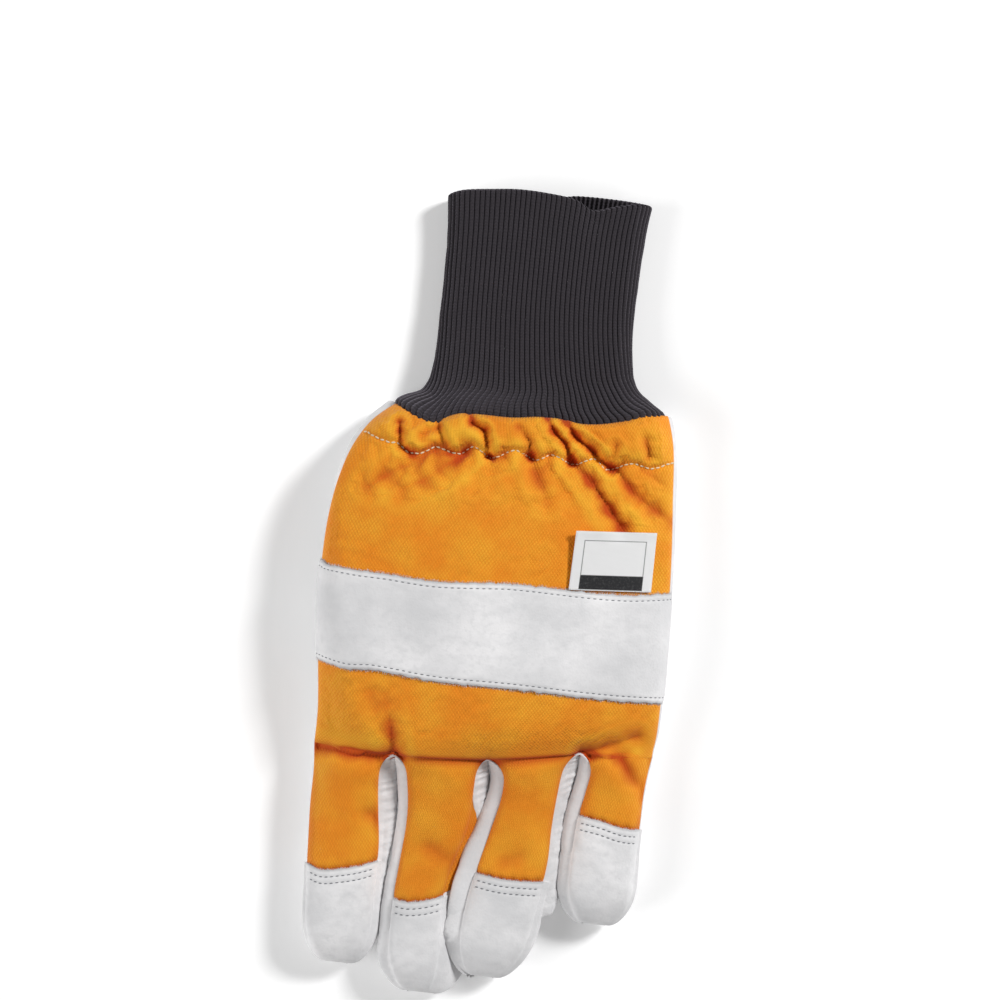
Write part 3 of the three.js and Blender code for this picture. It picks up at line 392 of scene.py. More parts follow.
def top_run(section):
    """Where the back starts and ends between its side seams."""
    return (
        section["left"] + section["left_side"]["seam_inset"],
        section["right"] - section["right_side"]["seam_inset"],
    )


def top_point(section, share):
    start, end = top_run(section)
    seam = mix(section["left_side"]["seam"], section["right_side"]["seam"], share)
    return mix(start, end, share), seam + (section["top"] - seam) * crown(share)


def side_point(section, name, share):
    side = section[name + "_side"]
    widest, power = side["widest"], side["power"]
    if share < widest:
        inset = side["corner_inset"] * ((widest - share) / widest) ** power
    else:
        inset = side["seam_inset"] * ((share - widest) / (1 - widest)) ** power
    x = section["left"] + inset if name == "left" else section["right"] - inset
    return x, mix(side["corner"], side["seam"], share)


HEEL = Vector((-0.33 * PALM_WIDTH, 0.83 * HAND_LENGTH))
THUMB_WAY = Vector((0.2, -1)).normalized()


def lift(x, y, margin, slope):
    """How far the folded thumb raises what lies over it."""
    away = Vector((x, y)) - HEEL
    end = THUMB_WIDTH * 0.3
    reach = clamp(away.dot(THUMB_WAY), end, THUMB_LENGTH - end)
    aside = (away - THUMB_WAY * reach).length
    return (THUMB_HEIGHT + THUMB_CLEARANCE) * smooth((THUMB_WIDTH / 2 + margin + slope - aside) / slope)


def settle(x, y, z, layer):
    """Point of the glove in millimetres where it lies over its folded thumb."""
    raised = z + layer * SEAM_GAP
    close = lift(x, y, THUMB_MARGIN, THUMB_SLOPE)
    swell = BACK_SWELL * lift(x, y, 0, BACK_SLOPE)
    return Vector((x, y, raised + mix(close, swell, clamp(raised / HAND_HEIGHT))))


def in_frame(point):
    """The same point in metres, in the frame."""
    return Vector((point[0] + FRAME_PLACE[0], point[1] + FRAME_PLACE[1], point[2])) / 1000


def crease_arrays():
    """Start, way, depths and half width of each straight part, and where each crease begins."""
    parts, firsts = [], []
    for points, first, last, width in CREASES:
        firsts.append(len(parts))
        count = len(points) - 1
        for i, ((x, y), (next_x, next_y)) in enumerate(zip(points, points[1:])):
            depths = mix(first, last, i / count), mix(first, last, (i + 1) / count)
            parts.append(((x, y), (next_x - x, next_y - y), depths, width))
    return [np.array(values, float) for values in zip(*parts)] + [firsts]


CREASE_STARTS, CREASE_WAYS, CREASE_DEPTHS, CREASE_WIDTHS, CREASE_FIRSTS = crease_arrays()


def creases(x, y):
    """How far the cloth is drawn in at a place, and its painted shade: positive in a crease, negative for
    painted highlight beside one.
    """
    away = np.array((x, y)) - CREASE_STARTS
    share = np.clip((away * CREASE_WAYS).sum(1) / (CREASE_WAYS**2).sum(1), 0, 1)
    apart = np.linalg.norm(away - CREASE_WAYS * share[:, None], axis=1) / CREASE_WIDTHS
    depth = CREASE_DEPTHS[:, 0] + (CREASE_DEPTHS[:, 1] - CREASE_DEPTHS[:, 0]) * share
    # A crease is a sharp valley in a broad dip, with a low ridge at each side
    sharp = np.maximum.reduceat(depth * np.exp(-(apart**1.5)), CREASE_FIRSTS)
    broad = np.maximum.reduceat(depth * np.exp(-((apart / 3.0) ** 2)), CREASE_FIRSTS)
    ridge = np.maximum.reduceat(depth * np.exp(-(((apart - 2.4) / 1.0) ** 2)), CREASE_FIRSTS)
    sharp, broad, ridge = float(sharp.sum()), float(broad.sum()), float(ridge.sum())
    # The second value is painted shade in the crease, and painted highlight, as a negative value, on the
    # ridges beside it
    return 1.9 * sharp + 0.9 * broad - 0.25 * ridge, max(sharp + 0.2 * broad - 0.5 * ridge, -1.0)


def uneven(x, y, z):
    """Smooth noise at a place, from -1 to 1."""
    return noise.noise(Vector((x, y, z)))


def ripple(x, y, size, seed):
    """Noise whose waves are about as long as the size."""
    return uneven(x / size, y / size, seed)


def hand_y(root, x, along):
    """Place along the hand, between its finger seam and its wavy wrist edge."""
    from_root = root * (1 - smooth(along / 0.2))
    return HAND_LENGTH * along + from_root + edge_at(WRIST_EDGE, x) * smooth((along - 0.78) / 0.22)


SEAM_START = top_run(finger_section(0, 0.0))[0]
SEAM_END = top_run(finger_section(3, 0.0))[1]


def finger_at(across):
    """Finger and the share across it of a place across the finger seam."""
    x = mix(SEAM_START, SEAM_END, across)
    f = max(i for i in range(4) if i == 0 or x >= ROOT_X[i])
    start, end = top_run(finger_section(f, 0.0))
    return f, clamp((x - start) / (end - start))


def root_rise(f, share):
    """How far the finger seam lies above a finger's own back there."""
    if f == 0:
        outer = 1 - smooth(share / 0.6)
    elif f == 3:
        outer = smooth((share - 0.4) / 0.6)
    else:
        return ROOT_RISE
    x, z = top_point(finger_section(f, 0.0), share)
    _, hand_z = top_point(hand_section(0.0), clamp((x - SEAM_START) / (SEAM_END - SEAM_START)))
    return mix(ROOT_RISE, hand_z - z, outer)


def panel_puff(across, along):
    """Roundness of the padded back above its finger seam, from 0 to 1."""
    radius = mix(0.2, 0.065, smooth(rim(across) / 0.14))
    return math.sqrt(1 - (1 - clamp(along / radius)) ** 2)


def back_point(across, along, raised=0.0, creased=True):
    """Place on the padded back, and its painted shade: in creases, along the gather line and at the finger
    seam.
    """
    f, share = finger_at(across)
    seam_x, seam_z = top_point(finger_section(f, 0.0), share)
    dome_x, dome_z = top_point(hand_section(along), across)
    puff = panel_puff(across, along)
    x = mix(seam_x, dome_x, smooth(along / 0.05))
    y = hand_y(mix(ROOT_Y[f], ROOT_Y[f + 1], share), x, along)
    z = mix(seam_z + root_rise(f, share) - 0.4 * smooth(rim(across) / 0.1), dome_z, puff)
    depth = 0.0
    if creased:
        calm = smooth(rim(across) / 0.05)
        sunk, depth = creases(x, y)
        # The frill stands up between the gathers and the wrist edge
        line = edge_at(GATHER_LINE, x)
        edge = HAND_LENGTH + edge_at(WRIST_EDGE, x)
        between = clamp((y - line) / (edge - line))
        frill = 2.8 * math.sin(math.pi * between) ** 0.7 if 0 < between < 1 else 0.0
        line_dip = 1.0 * bell(y - line, 1.2)
        hem = 1.6 * bell(edge - y, 1.1)
        held = mix(0.5, 1, smooth((edge - y) / 7))
        flow = 0.5 * ripple(x, y, 17.0, 2.0) + 0.22 * ripple(x, y, 6.0, 7.0)
        near = bell(y - line - 1, 9)
        flow += 1.2 * near * ripple(x, y * 0.35, 4.6, 5.0)
        z += (frill - sunk * held - line_dip + flow * smooth(puff)) * calm - hem
        # Painted shade along the finger seam and along the gather line, added to the painted shade of the
        # creases
        seam = 0.8 * bell(along * HAND_LENGTH, 1.1) * smooth(rim(across) / 0.12)
        depth = min(1.0, (depth + 0.35 * line_dip) / 1.7 + seam)
    return settle(x, y, z + raised, 2), depth


def back_at(x, y, raised=0.0):
    """Place on the padded back above a point, as a strip that lies on it does."""
    along = clamp(y / HAND_LENGTH)
    start, end = top_run(hand_section(round(along, 4)))
    across = clamp((x - start) / (end - start), 0.012, 0.988)
    point, _ = back_point(across, round(along, 4), raised, creased=False)
    sunk, _ = creases(x, y)
    return Vector((x, y, point.z - 0.5 * sunk))


def finger_ends(f, across):
    """Where a finger's root and its tip lie, at a share across it."""
    return mix(ROOT_Y[f], ROOT_Y[f + 1], across), (ROOT_Y[f] + ROOT_Y[f + 1]) / 2 - FINGER_LENGTH[f]


def finger_y(f, along, across):
    return mix(*finger_ends(f, across), along)


def finger_along(f, y, across):
    root, tip = finger_ends(f, across)
    return clamp((root - y) / (root - tip), 0, 1.5)


def finger_inside(f, y):
    """A point inside a finger, on its middle line."""
    return ((ROOT_X[f] + ROOT_X[f + 1]) / 2, y, 5)


def under_ring(along):
    """How far the middle finger's right edge has gone under the ring finger."""
    return smooth((along - 0.12) / 0.26)


def finger_top(f, share, along):
    """Place on a finger's back, and its painted shade: in creases, in the dip at its root and along its
    edges.

    A share past 1 goes under the ring finger.
    """
    width, tucked = FINGER_WIDTH[f], max(share - 1, 0.0) * FINGER_WIDTH[f] * under_ring(along)
    share = min(share, 1.0)
    x, z = top_point(finger_section(f, along), share)
    x, z = x + tucked, z - 0.75 * tucked
    y = finger_y(f, along, share)
    calm = smooth(rim(share) / 0.08) * smooth((1 - along) / 0.12)
    away = along * FINGER_LENGTH[f]
    outer = smooth(share / 0.35) if f == 0 else 1 - smooth((share - 0.2) / 0.6) if f == 3 else 1.0
    root = mix(0.3, 1.4, outer) * bell(away, mix(5.0, 2.6, outer))
    # Painted shade along both edges of the finger
    edges = 0.3 * smooth(1 - share * width / 5) + 0.3 * smooth(1 - (1 - share) * width / 4)
    sunk, depth = creases(x, y)
    flow = (0.55 * ripple(x, y, 13.0, 4.0) + 0.2 * ripple(x, y, 5.0, 9.0)) * smooth(away / 6)
    z += (flow - sunk) * calm - root * smooth(rim(share) / 0.04)
    z += root_rise(f, share) * bell(away, 14)
    # The second value is painted shade: in creases, in the dip at the root and along the edges
    return settle(x, y, z, 2), min(1.0, (depth + root) / 2.0 + edges)


def cap_start(f, share):
    """Where a cap's mean sewn edge is, along its finger."""
    return 1 - CAP_LENGTH[f] / FINGER_LENGTH[f] - edge_at(CAP_EDGES[f], share) / FINGER_LENGTH[f]


def sewn_in(point, share, whole, inset=0.35):
    """The same point, where a seam allowance past a side seam takes it behind the palm's edge."""
    beyond = (clamp(share) - share) / whole
    return point + Vector((inset * beyond, 0, -SEAM_ALLOWANCE * abs(beyond)))


def spread(start, end, count, closer=""):
    """Stations from start to end, closer together at the named ends."""
    shares = [i / count for i in range(count + 1)]
    if closer == "both":
        shares = [0.5 - 0.5 * math.cos(math.pi * share) for share in shares]
    elif closer == "start":
        shares = [share**1.7 for share in shares]
    elif closer == "end":
        shares = [1 - (1 - share) ** 1.7 for share in shares]
    return [mix(start, end, share) for share in shares]


def stations(*runs):
    """Stations of several runs, each from where the one before it ends."""
    places = spread(*runs[0])
    for run in runs[1:]:
        places += spread(*run)[1:]
    return places


def sheet_mesh(columns, rows, place, flat, inside):
    """Grid of cloth or leather whose columns and rows lie at the given stations."""
    bm = bmesh.new()
    bmesh.ops.create_grid(bm, x_segments=len(columns) - 1, y_segments=len(rows) - 1, size=0.5)
    cloth = bm.loops.layers.uv.new("cloth")
    # Painted shade and painted highlight of the cloth, and how raw a leather edge is, at each point
    mark = bm.verts.layers.float.new("mark")
    for vert in bm.verts:
        station = (
            columns[round((vert.co.x + 0.5) * (len(columns) - 1))],
            rows[round((vert.co.y + 0.5) * (len(rows) - 1))],
        )
        point, vert[mark] = place(*station)
        vert.co = in_frame(point)
        for loop in vert.link_loops:
            loop[cloth].uv = flat(*station)
    bm.normal_update()
    middle = in_frame(inside)
    outward = sum(
        (face.calc_center_median() - middle).dot(face.normal) * face.calc_area() for face in bm.faces
    )
    if outward < 0:
        bmesh.ops.reverse_faces(bm, faces=bm.faces)
    return bm


def thicken(piece, wall):
    """Give a sheet its thickness, inward."""
    solid = piece.modifiers.new("wall", "SOLIDIFY")
    solid.thickness = wall
    solid.offset = -1
    solid.use_even_offset = False


def swell(piece, held, most):
    """Let cloth puff up between its seams in a short simulation, and keep that shape."""
    scene = bpy.context.scene
    group = piece.vertex_groups.new(name="held")
    for index, weight in enumerate(held):
        group.add([index], weight, "REPLACE")
    cloth = piece.modifiers.new("swell", "CLOTH")
    cloth.settings.vertex_group_mass = group.name
    cloth.settings.mass = 0.01
    cloth.settings.quality = 5
    cloth.settings.bending_stiffness = 0.05
    cloth.settings.shrink_min = -0.05
    cloth.settings.use_pressure = True
    cloth.settings.uniform_pressure_force = 40
    cloth.settings.effector_weights.gravity = 0
    cloth.point_cache.frame_end = SWELL_FRAMES
    for step in range(1, SWELL_FRAMES + 1):
        scene.frame_set(step)
    shaped = piece.evaluated_get(bpy.context.evaluated_depsgraph_get()).data
    moves = [moved.co - vert.co for vert, moved in zip(piece.data.vertices, shaped.vertices)]
    for vert, move in zip(piece.data.vertices, moves):
        vert.co += move * min(1.0, most / max(move.length, 1e-9))
    piece.modifiers.remove(cloth)
    piece.vertex_groups.clear()
    scene.frame_set(1)


def finished(bm, name, material, nodes=(), wall=0.0):
    """Object of a mesh: smooth, on the glove's body, in place of its solids."""
    mesh = bpy.data.meshes.new(name)
    bm.to_mesh(mesh)
    bm.free()
    mesh.polygons.foreach_set("use_smooth", [True] * len(mesh.polygons))
    mesh.materials.append(material_of(material))
    piece = bpy.data.objects.new(name, mesh)
    bpy.context.scene.collection.objects.link(piece)
    if wall:
        thicken(piece, wall)
    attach(piece, "root")
    if nodes:
        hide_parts(*nodes)
    return piece


def stitch_row(bm, points, sizes, wave):
    """Stitches one after another along points that lie on the sewn surface."""
    places = [in_frame(point) for point in points]
    way = [0.0]
    for i in range(1, len(places)):
        way.append(way[-1] + (places[i] - places[i - 1]).length)
    count = int(way[-1] / sizes["pitch"])
    for k in range(count):
        at = (k + 0.5) * way[-1] / count
        i = next(n for n in range(1, len(way)) if way[n] >= at)
        share = (at - way[i - 1]) / (way[i] - way[i - 1])
        direction = (places[i] - places[i - 1]).normalized()
        up = direction.orthogonal() if abs(direction.z) > 0.95 else Vector((0, 0, 1))
        aside = direction.cross(up).normalized()
        turned = (direction + aside * wave * (1 if k % 2 else -1)).normalized()
        across = up.cross(turned).normalized()
        axes = Matrix((turned, across, turned.cross(across))).transposed().to_4x4()
        place = Matrix.Translation(places[i - 1].lerp(places[i], share)) @ axes
        scale = Matrix.Diagonal((sizes["length"], sizes["thread"], sizes["thread"] * 0.8, 1))
        bmesh.ops.create_icosphere(bm, subdivisions=2, radius=0.5, matrix=place @ scale)


def sew(name, material, lines, wave=0.0, **sizes):
    """Piece of all the stitches along some lines."""
    bm = bmesh.new()
    for line in lines:
        stitch_row(bm, line, sizes, wave)
    finished(bm, name, material)


def fray(name, edges, length, spacing):
    """Piece of short loose fibres along raw edges, each given with its outward way and its seed."""
    bm = bmesh.new()
    thick, thin = FIBRE_RADII
    for points, outward, seed in edges:
        chance = random.Random(seed)
        for start, end in zip(map(in_frame, points), map(in_frame, points[1:])):
            for _ in range(max(1, round((end - start).length / spacing))):
                root = start.lerp(end, chance.random())
                lean = Vector([chance.uniform(least, most) for least, most in FIBRE_LEAN])
                way = (Vector(outward) + lean).normalized()
                reach = length * chance.uniform(0.35, 1.0)
                turn = Vector((0, 0, 1)).rotation_difference(way).to_matrix().to_4x4()
                place = Matrix.Translation(root + way * reach * 0.4) @ turn
                bmesh.ops.create_cone(
                    bm, cap_ends=False, segments=3, radius1=thick, radius2=thin, depth=reach, matrix=place
                )
    finished(bm, name, "pale_goatskin")


# Materials


class Surface:
    """A material and its shader nodes, with short calls for what the recipes repeat."""

    def __init__(self, name, **values):
        self.material = bpy.data.materials.new(name)
        self.material.use_nodes = True
        self.tree = self.material.node_tree
        self.tree.nodes.clear()
        self.shader = self.add("BsdfPrincipled", values)
        self.add("OutputMaterial", {"Surface": self.shader.outputs[0]})

    def add(self, kind, values=None, **settings):
        """A node with its settings, and its sockets given a value or a link."""
        made = self.tree.nodes.new("ShaderNode" + kind)
        for name, value in settings.items():
            setattr(made, name, value)
        for name, value in (values or {}).items():
            if isinstance(value, bpy.types.NodeSocket):
                self.tree.links.new(value, made.inputs[name])
            else:
                made.inputs[name].default_value = value
        return made

    def math(self, operation, a, b=0.0):
        return self.add("Math", {0: a, 1: b}, operation=operation).outputs[0]

    def times(self, a, b):
        return self.math("MULTIPLY", a, b)

    def plus(self, *values):
        total = values[0]
        for value in values[1:]:
            total = self.math("ADD", total, value)
        return total

    def ramp(self, value, low, high, to_low=0.0, to_high=1.0):
        values = {"Value": value, "From Min": low, "From Max": high, "To Min": to_low, "To Max": to_high}
        return self.add("MapRange", values).outputs[0]

    def blend(self, share, a, b):
        a, b = (value if isinstance(value, bpy.types.NodeSocket) else (*value, 1) for value in (a, b))
        return self.add("Mix", {0: share, 6: a, 7: b}, data_type="RGBA").outputs[2]

    def place(self, stretch=(1, 1, 1), turn=0.0):
        at = self.add("TexCoord").outputs["Object"]
        return self.add("Mapping", {"Vector": at, "Scale": stretch, "Rotation": (0, 0, turn)}).outputs[0]

    def speckle(self, scale, detail, place):
        return self.add("TexNoise", {"Scale": scale, "Detail": detail, "Vector": place}).outputs[0]

    def cloth(self):
        """Both coordinates along the sheet."""
        apart = self.add("SeparateXYZ", {0: self.add("UVMap", uv_map="cloth").outputs[0]})
        return apart.outputs[0], apart.outputs[1]

    def mark(self):
        """Painted shade in the cloth's creases and seams, painted highlight beside its creases where
        negative, and how raw a leather edge is.
        """
        return self.add("Attribute", attribute_name="mark").outputs["Fac"]

    def finish(self, colour, height=None, distance=0.0):
        """The material, with its colour and the depth of its grain in metres."""
        self.tree.links.new(colour, self.shader.inputs["Base Color"])
        if height is not None:
            made = self.add("Bump", {"Height": height, "Distance": distance, "Strength": 1.0})
            self.tree.links.new(made.outputs[0], self.shader.inputs["Normal"])
        return self.material


def textile_material(look, name):
    """Orange oxford cloth: a dotted weave, with painted shade in its creases and seams and painted highlight
    beside its creases.
    """
    finish = {"Roughness": 0.75, "Specular IOR Level": 0.2, "Sheen Weight": 0.06, "Sheen Roughness": 0.5}
    s = Surface(name, **finish)
    u, v = s.cloth()
    pace = math.pi / look.weave_pitch / 1000
    weft, warp = s.times(u, 0.81 * pace), s.times(v, 0.59 * pace)
    one, two = s.math("SINE", s.plus(weft, warp)), s.math("SINE", s.math("SUBTRACT", weft, warp))
    dots = s.math("ABSOLUTE", s.times(one, two))
    at = s.place()
    colour = s.blend(s.ramp(s.speckle(60.0, 4.0, at), 0.36, 0.68), look.textile, look.textile_bright)
    colour = s.blend(s.ramp(dots, 0.0, 0.6, 0.55, 0.0), colour, look.textile_shade)
    # Painted highlight on the ridges beside the creases, where the attribute is negative
    colour = s.blend(s.ramp(s.mark(), -0.6, -0.05, 0.7, 0.0), colour, look.textile_painted_highlight)
    # Painted shade in the creases, along the gathers and seams, at the finger edges and before the caps,
    # where the attribute is positive
    colour = s.blend(s.ramp(s.mark(), 0.05, 0.8, 0.0, 0.95), colour, look.textile_painted_shade)
    return s.finish(colour, s.plus(dots, s.times(s.speckle(900.0, 2.0, at), 0.3)), 0.00016)


def leather_material(look, name):
    """Pale goatskin: fine grain, soft wrinkles and greyer raw edges."""
    s = Surface(name, **{"Roughness": 0.58, "Specular IOR Level": 0.35})
    at = s.place()
    streak = s.speckle(150.0, 4.0, s.place((1, 1.8, 1), 0.6))
    grain = s.add("TexVoronoi", {"Scale": 1100.0, "Vector": at}).outputs["Distance"]
    colour = s.blend(s.ramp(s.speckle(34.0, 5.0, at), 0.34, 0.72), look.leather, look.leather_shade)
    colour = s.blend(s.ramp(streak, 0.45, 0.75, 0.0, 0.4), colour, look.leather_shade)
    colour = s.blend(s.ramp(s.speckle(420.0, 5.0, at), 0.5, 0.75, 0.0, 0.45), colour, look.leather_shade)
    colour = s.blend(s.ramp(s.mark(), 0.2, 1.0, 0.0, 0.8), colour, look.raw_edge)
    pores = s.times(s.speckle(2200.0, 2.0, at), 0.25)
    raw = s.times(s.speckle(1500.0, 4.0, at), s.times(s.mark(), 2.5))
    return s.finish(colour, s.plus(s.times(grain, 0.4), s.times(streak, 0.7), pores, raw), 0.00013)


def knit_material(look, name):
    """Dark rib knit: small courses across each rib and a fuzz of fibres."""
    sheen = {"Sheen Weight": 0.35, "Sheen Roughness": 0.6, "Sheen Tint": (0.55, 0.5, 0.6, 1)}
    s = Surface(name, Roughness=0.92, **sheen)
    u, v = s.cloth()
    slant = s.math("ABSOLUTE", s.math("SINE", s.times(u, math.pi)))
    loops = s.math("SINE", s.plus(s.times(v, 2 * math.pi / 1.15), s.times(slant, 2.2)))
    at = s.place()
    fuzz = s.speckle(1600.0, 4.0, at)
    cloud = s.ramp(s.speckle(70.0, 3.0, at), 0.2, 0.8, 0.5, 1.1)
    shade = s.plus(s.ramp(loops, -1.0, 1.0, 0.0, 0.12), s.ramp(fuzz, 0.4, 0.75, 0.0, 0.5))
    colour = s.blend(s.times(shade, cloud), look.knit, look.knit_fuzz)
    return s.finish(colour, s.plus(s.times(loops, 0.16), s.times(fuzz, 0.6)), 0.0003)


def thread_material(look, name):
    """Twisted thread in the colour that has the material's name."""
    s = Surface(name, Roughness=0.7)
    colour = getattr(look, name)
    twist = s.speckle(3000.0, 2.0, s.place((1, 2.5, 1), 0.7))
    darker = [value * 0.7 for value in colour]
    return s.finish(s.blend(s.ramp(twist, 0.35, 0.7), darker, colour), twist, 0.00008)


def label_material(look, name):
    """White woven tape with a thin printed frame and a plain dark bar."""
    s = Surface(name, **{"Roughness": 0.5, "Specular IOR Level": 0.4})
    u, v = s.cloth()

    def box(middle, half, edge=0.004):
        """1 inside a rectangle of the label, 0 outside it."""
        sides = [
            s.math("SUBTRACT", s.math("ABSOLUTE", s.math("SUBTRACT", place, middle[i])), half[i])
            for i, place in enumerate((u, v))
        ]
        return s.ramp(s.math("MAXIMUM", *sides), -edge, edge, 1.0, 0.0)

    line = s.math("SUBTRACT", box((0.5, 0.55), (0.385, 0.3)), box((0.5, 0.55), (0.374, 0.286)))
    ink = s.math("MAXIMUM", s.times(line, 0.75), box((0.5, 0.14), (0.385, 0.12)))
    wear = s.ramp(s.speckle(1400.0, 3.0, s.place()), 0.25, 0.5, 0.95, 1.0)
    weft, warp = (s.math("SINE", s.times(place, 2 * math.pi * count)) for place, count in ((v, 70), (u, 95)))
    tape = s.blend(s.ramp(weft, -1, 1, 0.0, 0.3), look.label, [value * 0.82 for value in look.label])
    colour = s.blend(s.times(ink, wear), tape, look.print_ink)
    return s.finish(colour, s.plus(weft, s.times(warp, 0.5)), 0.00005)


def floor_material(look, name):
    """Plain pale table that gives back a little light."""
    s = Surface(name, **{"Roughness": 0.9, "Emission Color": (1, 1, 1, 1), "Emission Strength": 0.17})
    return s.finish(s.blend(s.speckle(3.0, 2.0, s.place()), (0.93, 0.93, 0.93), (0.95, 0.95, 0.95)))


# The slot that each material stands for, and what makes it
RECIPES = {
    "orange_oxford": ("textile", textile_material),
    "pale_goatskin": ("leather", leather_material),
    "dark_rib_knit": ("knit", knit_material),
    "cream_thread": ("textile", thread_material),
    "grey_thread": ("leather", thread_material),
    "woven_tape": ("label", label_material),
    "pale_table": ("", floor_material),
}


def material_of(name):
    """A material of the glove, made the first time it is asked for."""
    return bpy.data.materials.get(name) or RECIPES[name][1](bpy.context.scene.glove_look, name)


# Settings


def length(name, description, value):
    shown = {"unit": "LENGTH", "subtype": "DISTANCE", "precision": 5}
    return FloatProperty(name=name, description=description, default=value, **shown)


def colour(name, description, value):
    shown = {"size": 3, "min": 0, "max": 1, "subtype": "COLOR"}
    return FloatVectorProperty(name=name, description=description, default=value, **shown)


class GloveSizes(bpy.types.PropertyGroup):
    """Sizes of the sewn details."""

    swell: length("Swell", "How far the padded back may puff up between its seams", 0.0018)
    padding: length("Padding", "Thickness of the padded back", 0.0038)
    cloth: length("Cloth", "Thickness of the finger backs", 0.0016)
    leather: length("Leather", "Thickness of the leather", 0.0012)
    tape: length("Label", "Thickness of the label", 0.0003)
    rib_depth: length("Rib depth", "How far a rib of the cuff stands out", 0.0009)
    gusset_roll: length("Gusset roll", "How far the rolled gusset edge stands up", 0.0021)
    stitch_pitch: length("Stitch pitch", "Distance between leather stitches", 0.0023)
    stitch_length: length("Stitch length", "Length of a leather stitch", 0.0013)
    gather_pitch: length("Gather pitch", "Distance between stitches of the gathers", 0.00215)
    gather_stitch: length("Gather stitch", "Length of a stitch of the gathers", 0.0017)
    thread: length("Thread", "Thickness of the sewing thread", 0.00055)
    fray: length("Fray", "Longest loose fibre on a raw edge", 0.0014)


class GloveLook(bpy.types.PropertyGroup):
    """Colours of the glove and the pitch of its weave."""

    weave_pitch: length("Weave pitch", "Distance between slanted rows of dots of the cloth", 0.00106)
    textile: colour("Cloth", "Orange cloth", (0.81, 0.266, 0.013))
    textile_bright: colour("Bright cloth", "Orange cloth where it is worn smooth", (0.85, 0.385, 0.024))
    # Painted highlight on the ridges beside the creases
    textile_painted_highlight: colour("Ridge cloth", "Orange cloth beside its creases", (0.9, 0.47, 0.03))
    textile_shade: colour("Shaded cloth", "Orange cloth between the dots of its weave", (0.73, 0.19, 0.003))
    # Painted shade in creases and seams of the cloth
    textile_painted_shade: colour("Deep cloth", "Orange cloth in creases", (0.5, 0.055, 0.002))
    leather: colour("Leather", "Pale goatskin", (0.84, 0.83, 0.836))
    leather_shade: colour("Shaded leather", "Darker patches of the goatskin", (0.62, 0.62, 0.63))
    raw_edge: colour("Raw edge", "Fuzzy cut edge of the leather", (0.44, 0.44, 0.45))
    knit: colour("Knit", "Dark rib knit", (0.008, 0.0055, 0.008))
    knit_fuzz: colour("Knit fuzz", "Loose fibres of the knit", (0.035, 0.027, 0.034))
    cream_thread: colour("Gather thread", "Thread of the gathers", (0.88, 0.76, 0.52))
    grey_thread: colour("Leather thread", "Thread in the leather", (0.2, 0.21, 0.23))
    label: colour("Label", "Woven label", (0.97, 0.97, 0.97))
    print_ink: colour("Print", "Printed frame and bar", (0.015, 0.015, 0.017))


# Pieces


class GlovePiece:
    """What the operators of the glove's pieces share."""

    bl_options = {"REGISTER"}

    def execute(self, context):
        self.make(context.scene.glove_sizes)
        return {"FINISHED"}


class GLOVE_OT_hand_back(GlovePiece, bpy.types.Operator):
    """Padded textile back of the hand, gathered on a wavy line of stitches"""

    bl_idname = "glove.hand_back"
    bl_label = "Padded back"

    def make(self, sizes):
        columns = [0.5 - 0.5 * math.cos(math.pi * (0.08 + 0.84 * t)) for t in spread(0, 1, 128)]
        low, high = columns[0], columns[-1]
        columns = [-0.02, -0.01] + [(value - low) / (high - low) for value in columns] + [1.01, 1.02]
        rows = stations((0, 0.1, 16, "start"), (0.1, 0.72, 52), (0.72, 1, 64))

        def flat(across, along):
            return mix(-HALF_BACK, HALF_BACK, across), along * HAND_LENGTH + 5 * panel_puff(across, along)

        held = []

        def place(across, along):
            # The back's painted shade also tells how firmly a crease holds the cloth
            point, painted_shade = back_point(clamp(across), along)
            held.append(self.firmness(across, along, point, painted_shade))
            return sewn_in(point, across, 0.02), painted_shade

        bm = sheet_mesh(columns, rows, place, flat, (0, 65, 6))
        piece = finished(bm, "hand_back_padded", "orange_oxford", ("hand_back",))
        swell(piece, held, sizes.swell)
        thicken(piece, sizes.padding)
        line = [self.on_gathers(x, edge_at(GATHER_LINE, x)) for x in spread(*GATHER_ENDS, 240)]
        row = {"pitch": sizes.gather_pitch, "length": sizes.gather_stitch, "thread": sizes.thread * 1.25}
        sew("gather_stitches", "cream_thread", [line], 0.16, **row)

    @staticmethod
    def firmness(across, along, point, painted_shade):
        """How firmly the cloth is held there: at its seams, in its creases and under what lies on it."""
        x, y, _ = point
        seam = 1 - smooth((along - 0.03) / 0.06)
        side = 1 - smooth((rim(across) - 0.012) / 0.04)
        edge = smooth((along - 0.985) / 0.01)
        sewn = bell(y - edge_at(GATHER_LINE, x), 1.2)
        banded = edge_at(BAND_BOTTOM, x) - 2 < y < edge_at(BAND_TOP, x) + 2
        labelled = all(low < place < high for place, (low, high) in zip((x, y), LABEL_REACH))
        calm = 0.55 * smooth((102 - y) / 12)
        return 1.0 if banded or labelled else max(calm, seam, side, edge, sewn, smooth((painted_shade - 0.3) / 0.4))

    @staticmethod
    def on_gathers(x, y):
        """Place on the gathered cloth above a point, found step by step."""
        along = (y - edge_at(WRIST_EDGE, x) * 0.35) / HAND_LENGTH
        for _ in range(8):
            along += (y - hand_y(0, x, along)) / HAND_LENGTH
        along = round(clamp(along), 5)
        start, end = top_run(hand_section(along))
        return back_point(clamp((x - start) / (end - start)), along)[0] + Vector((0, 0, 0.25))


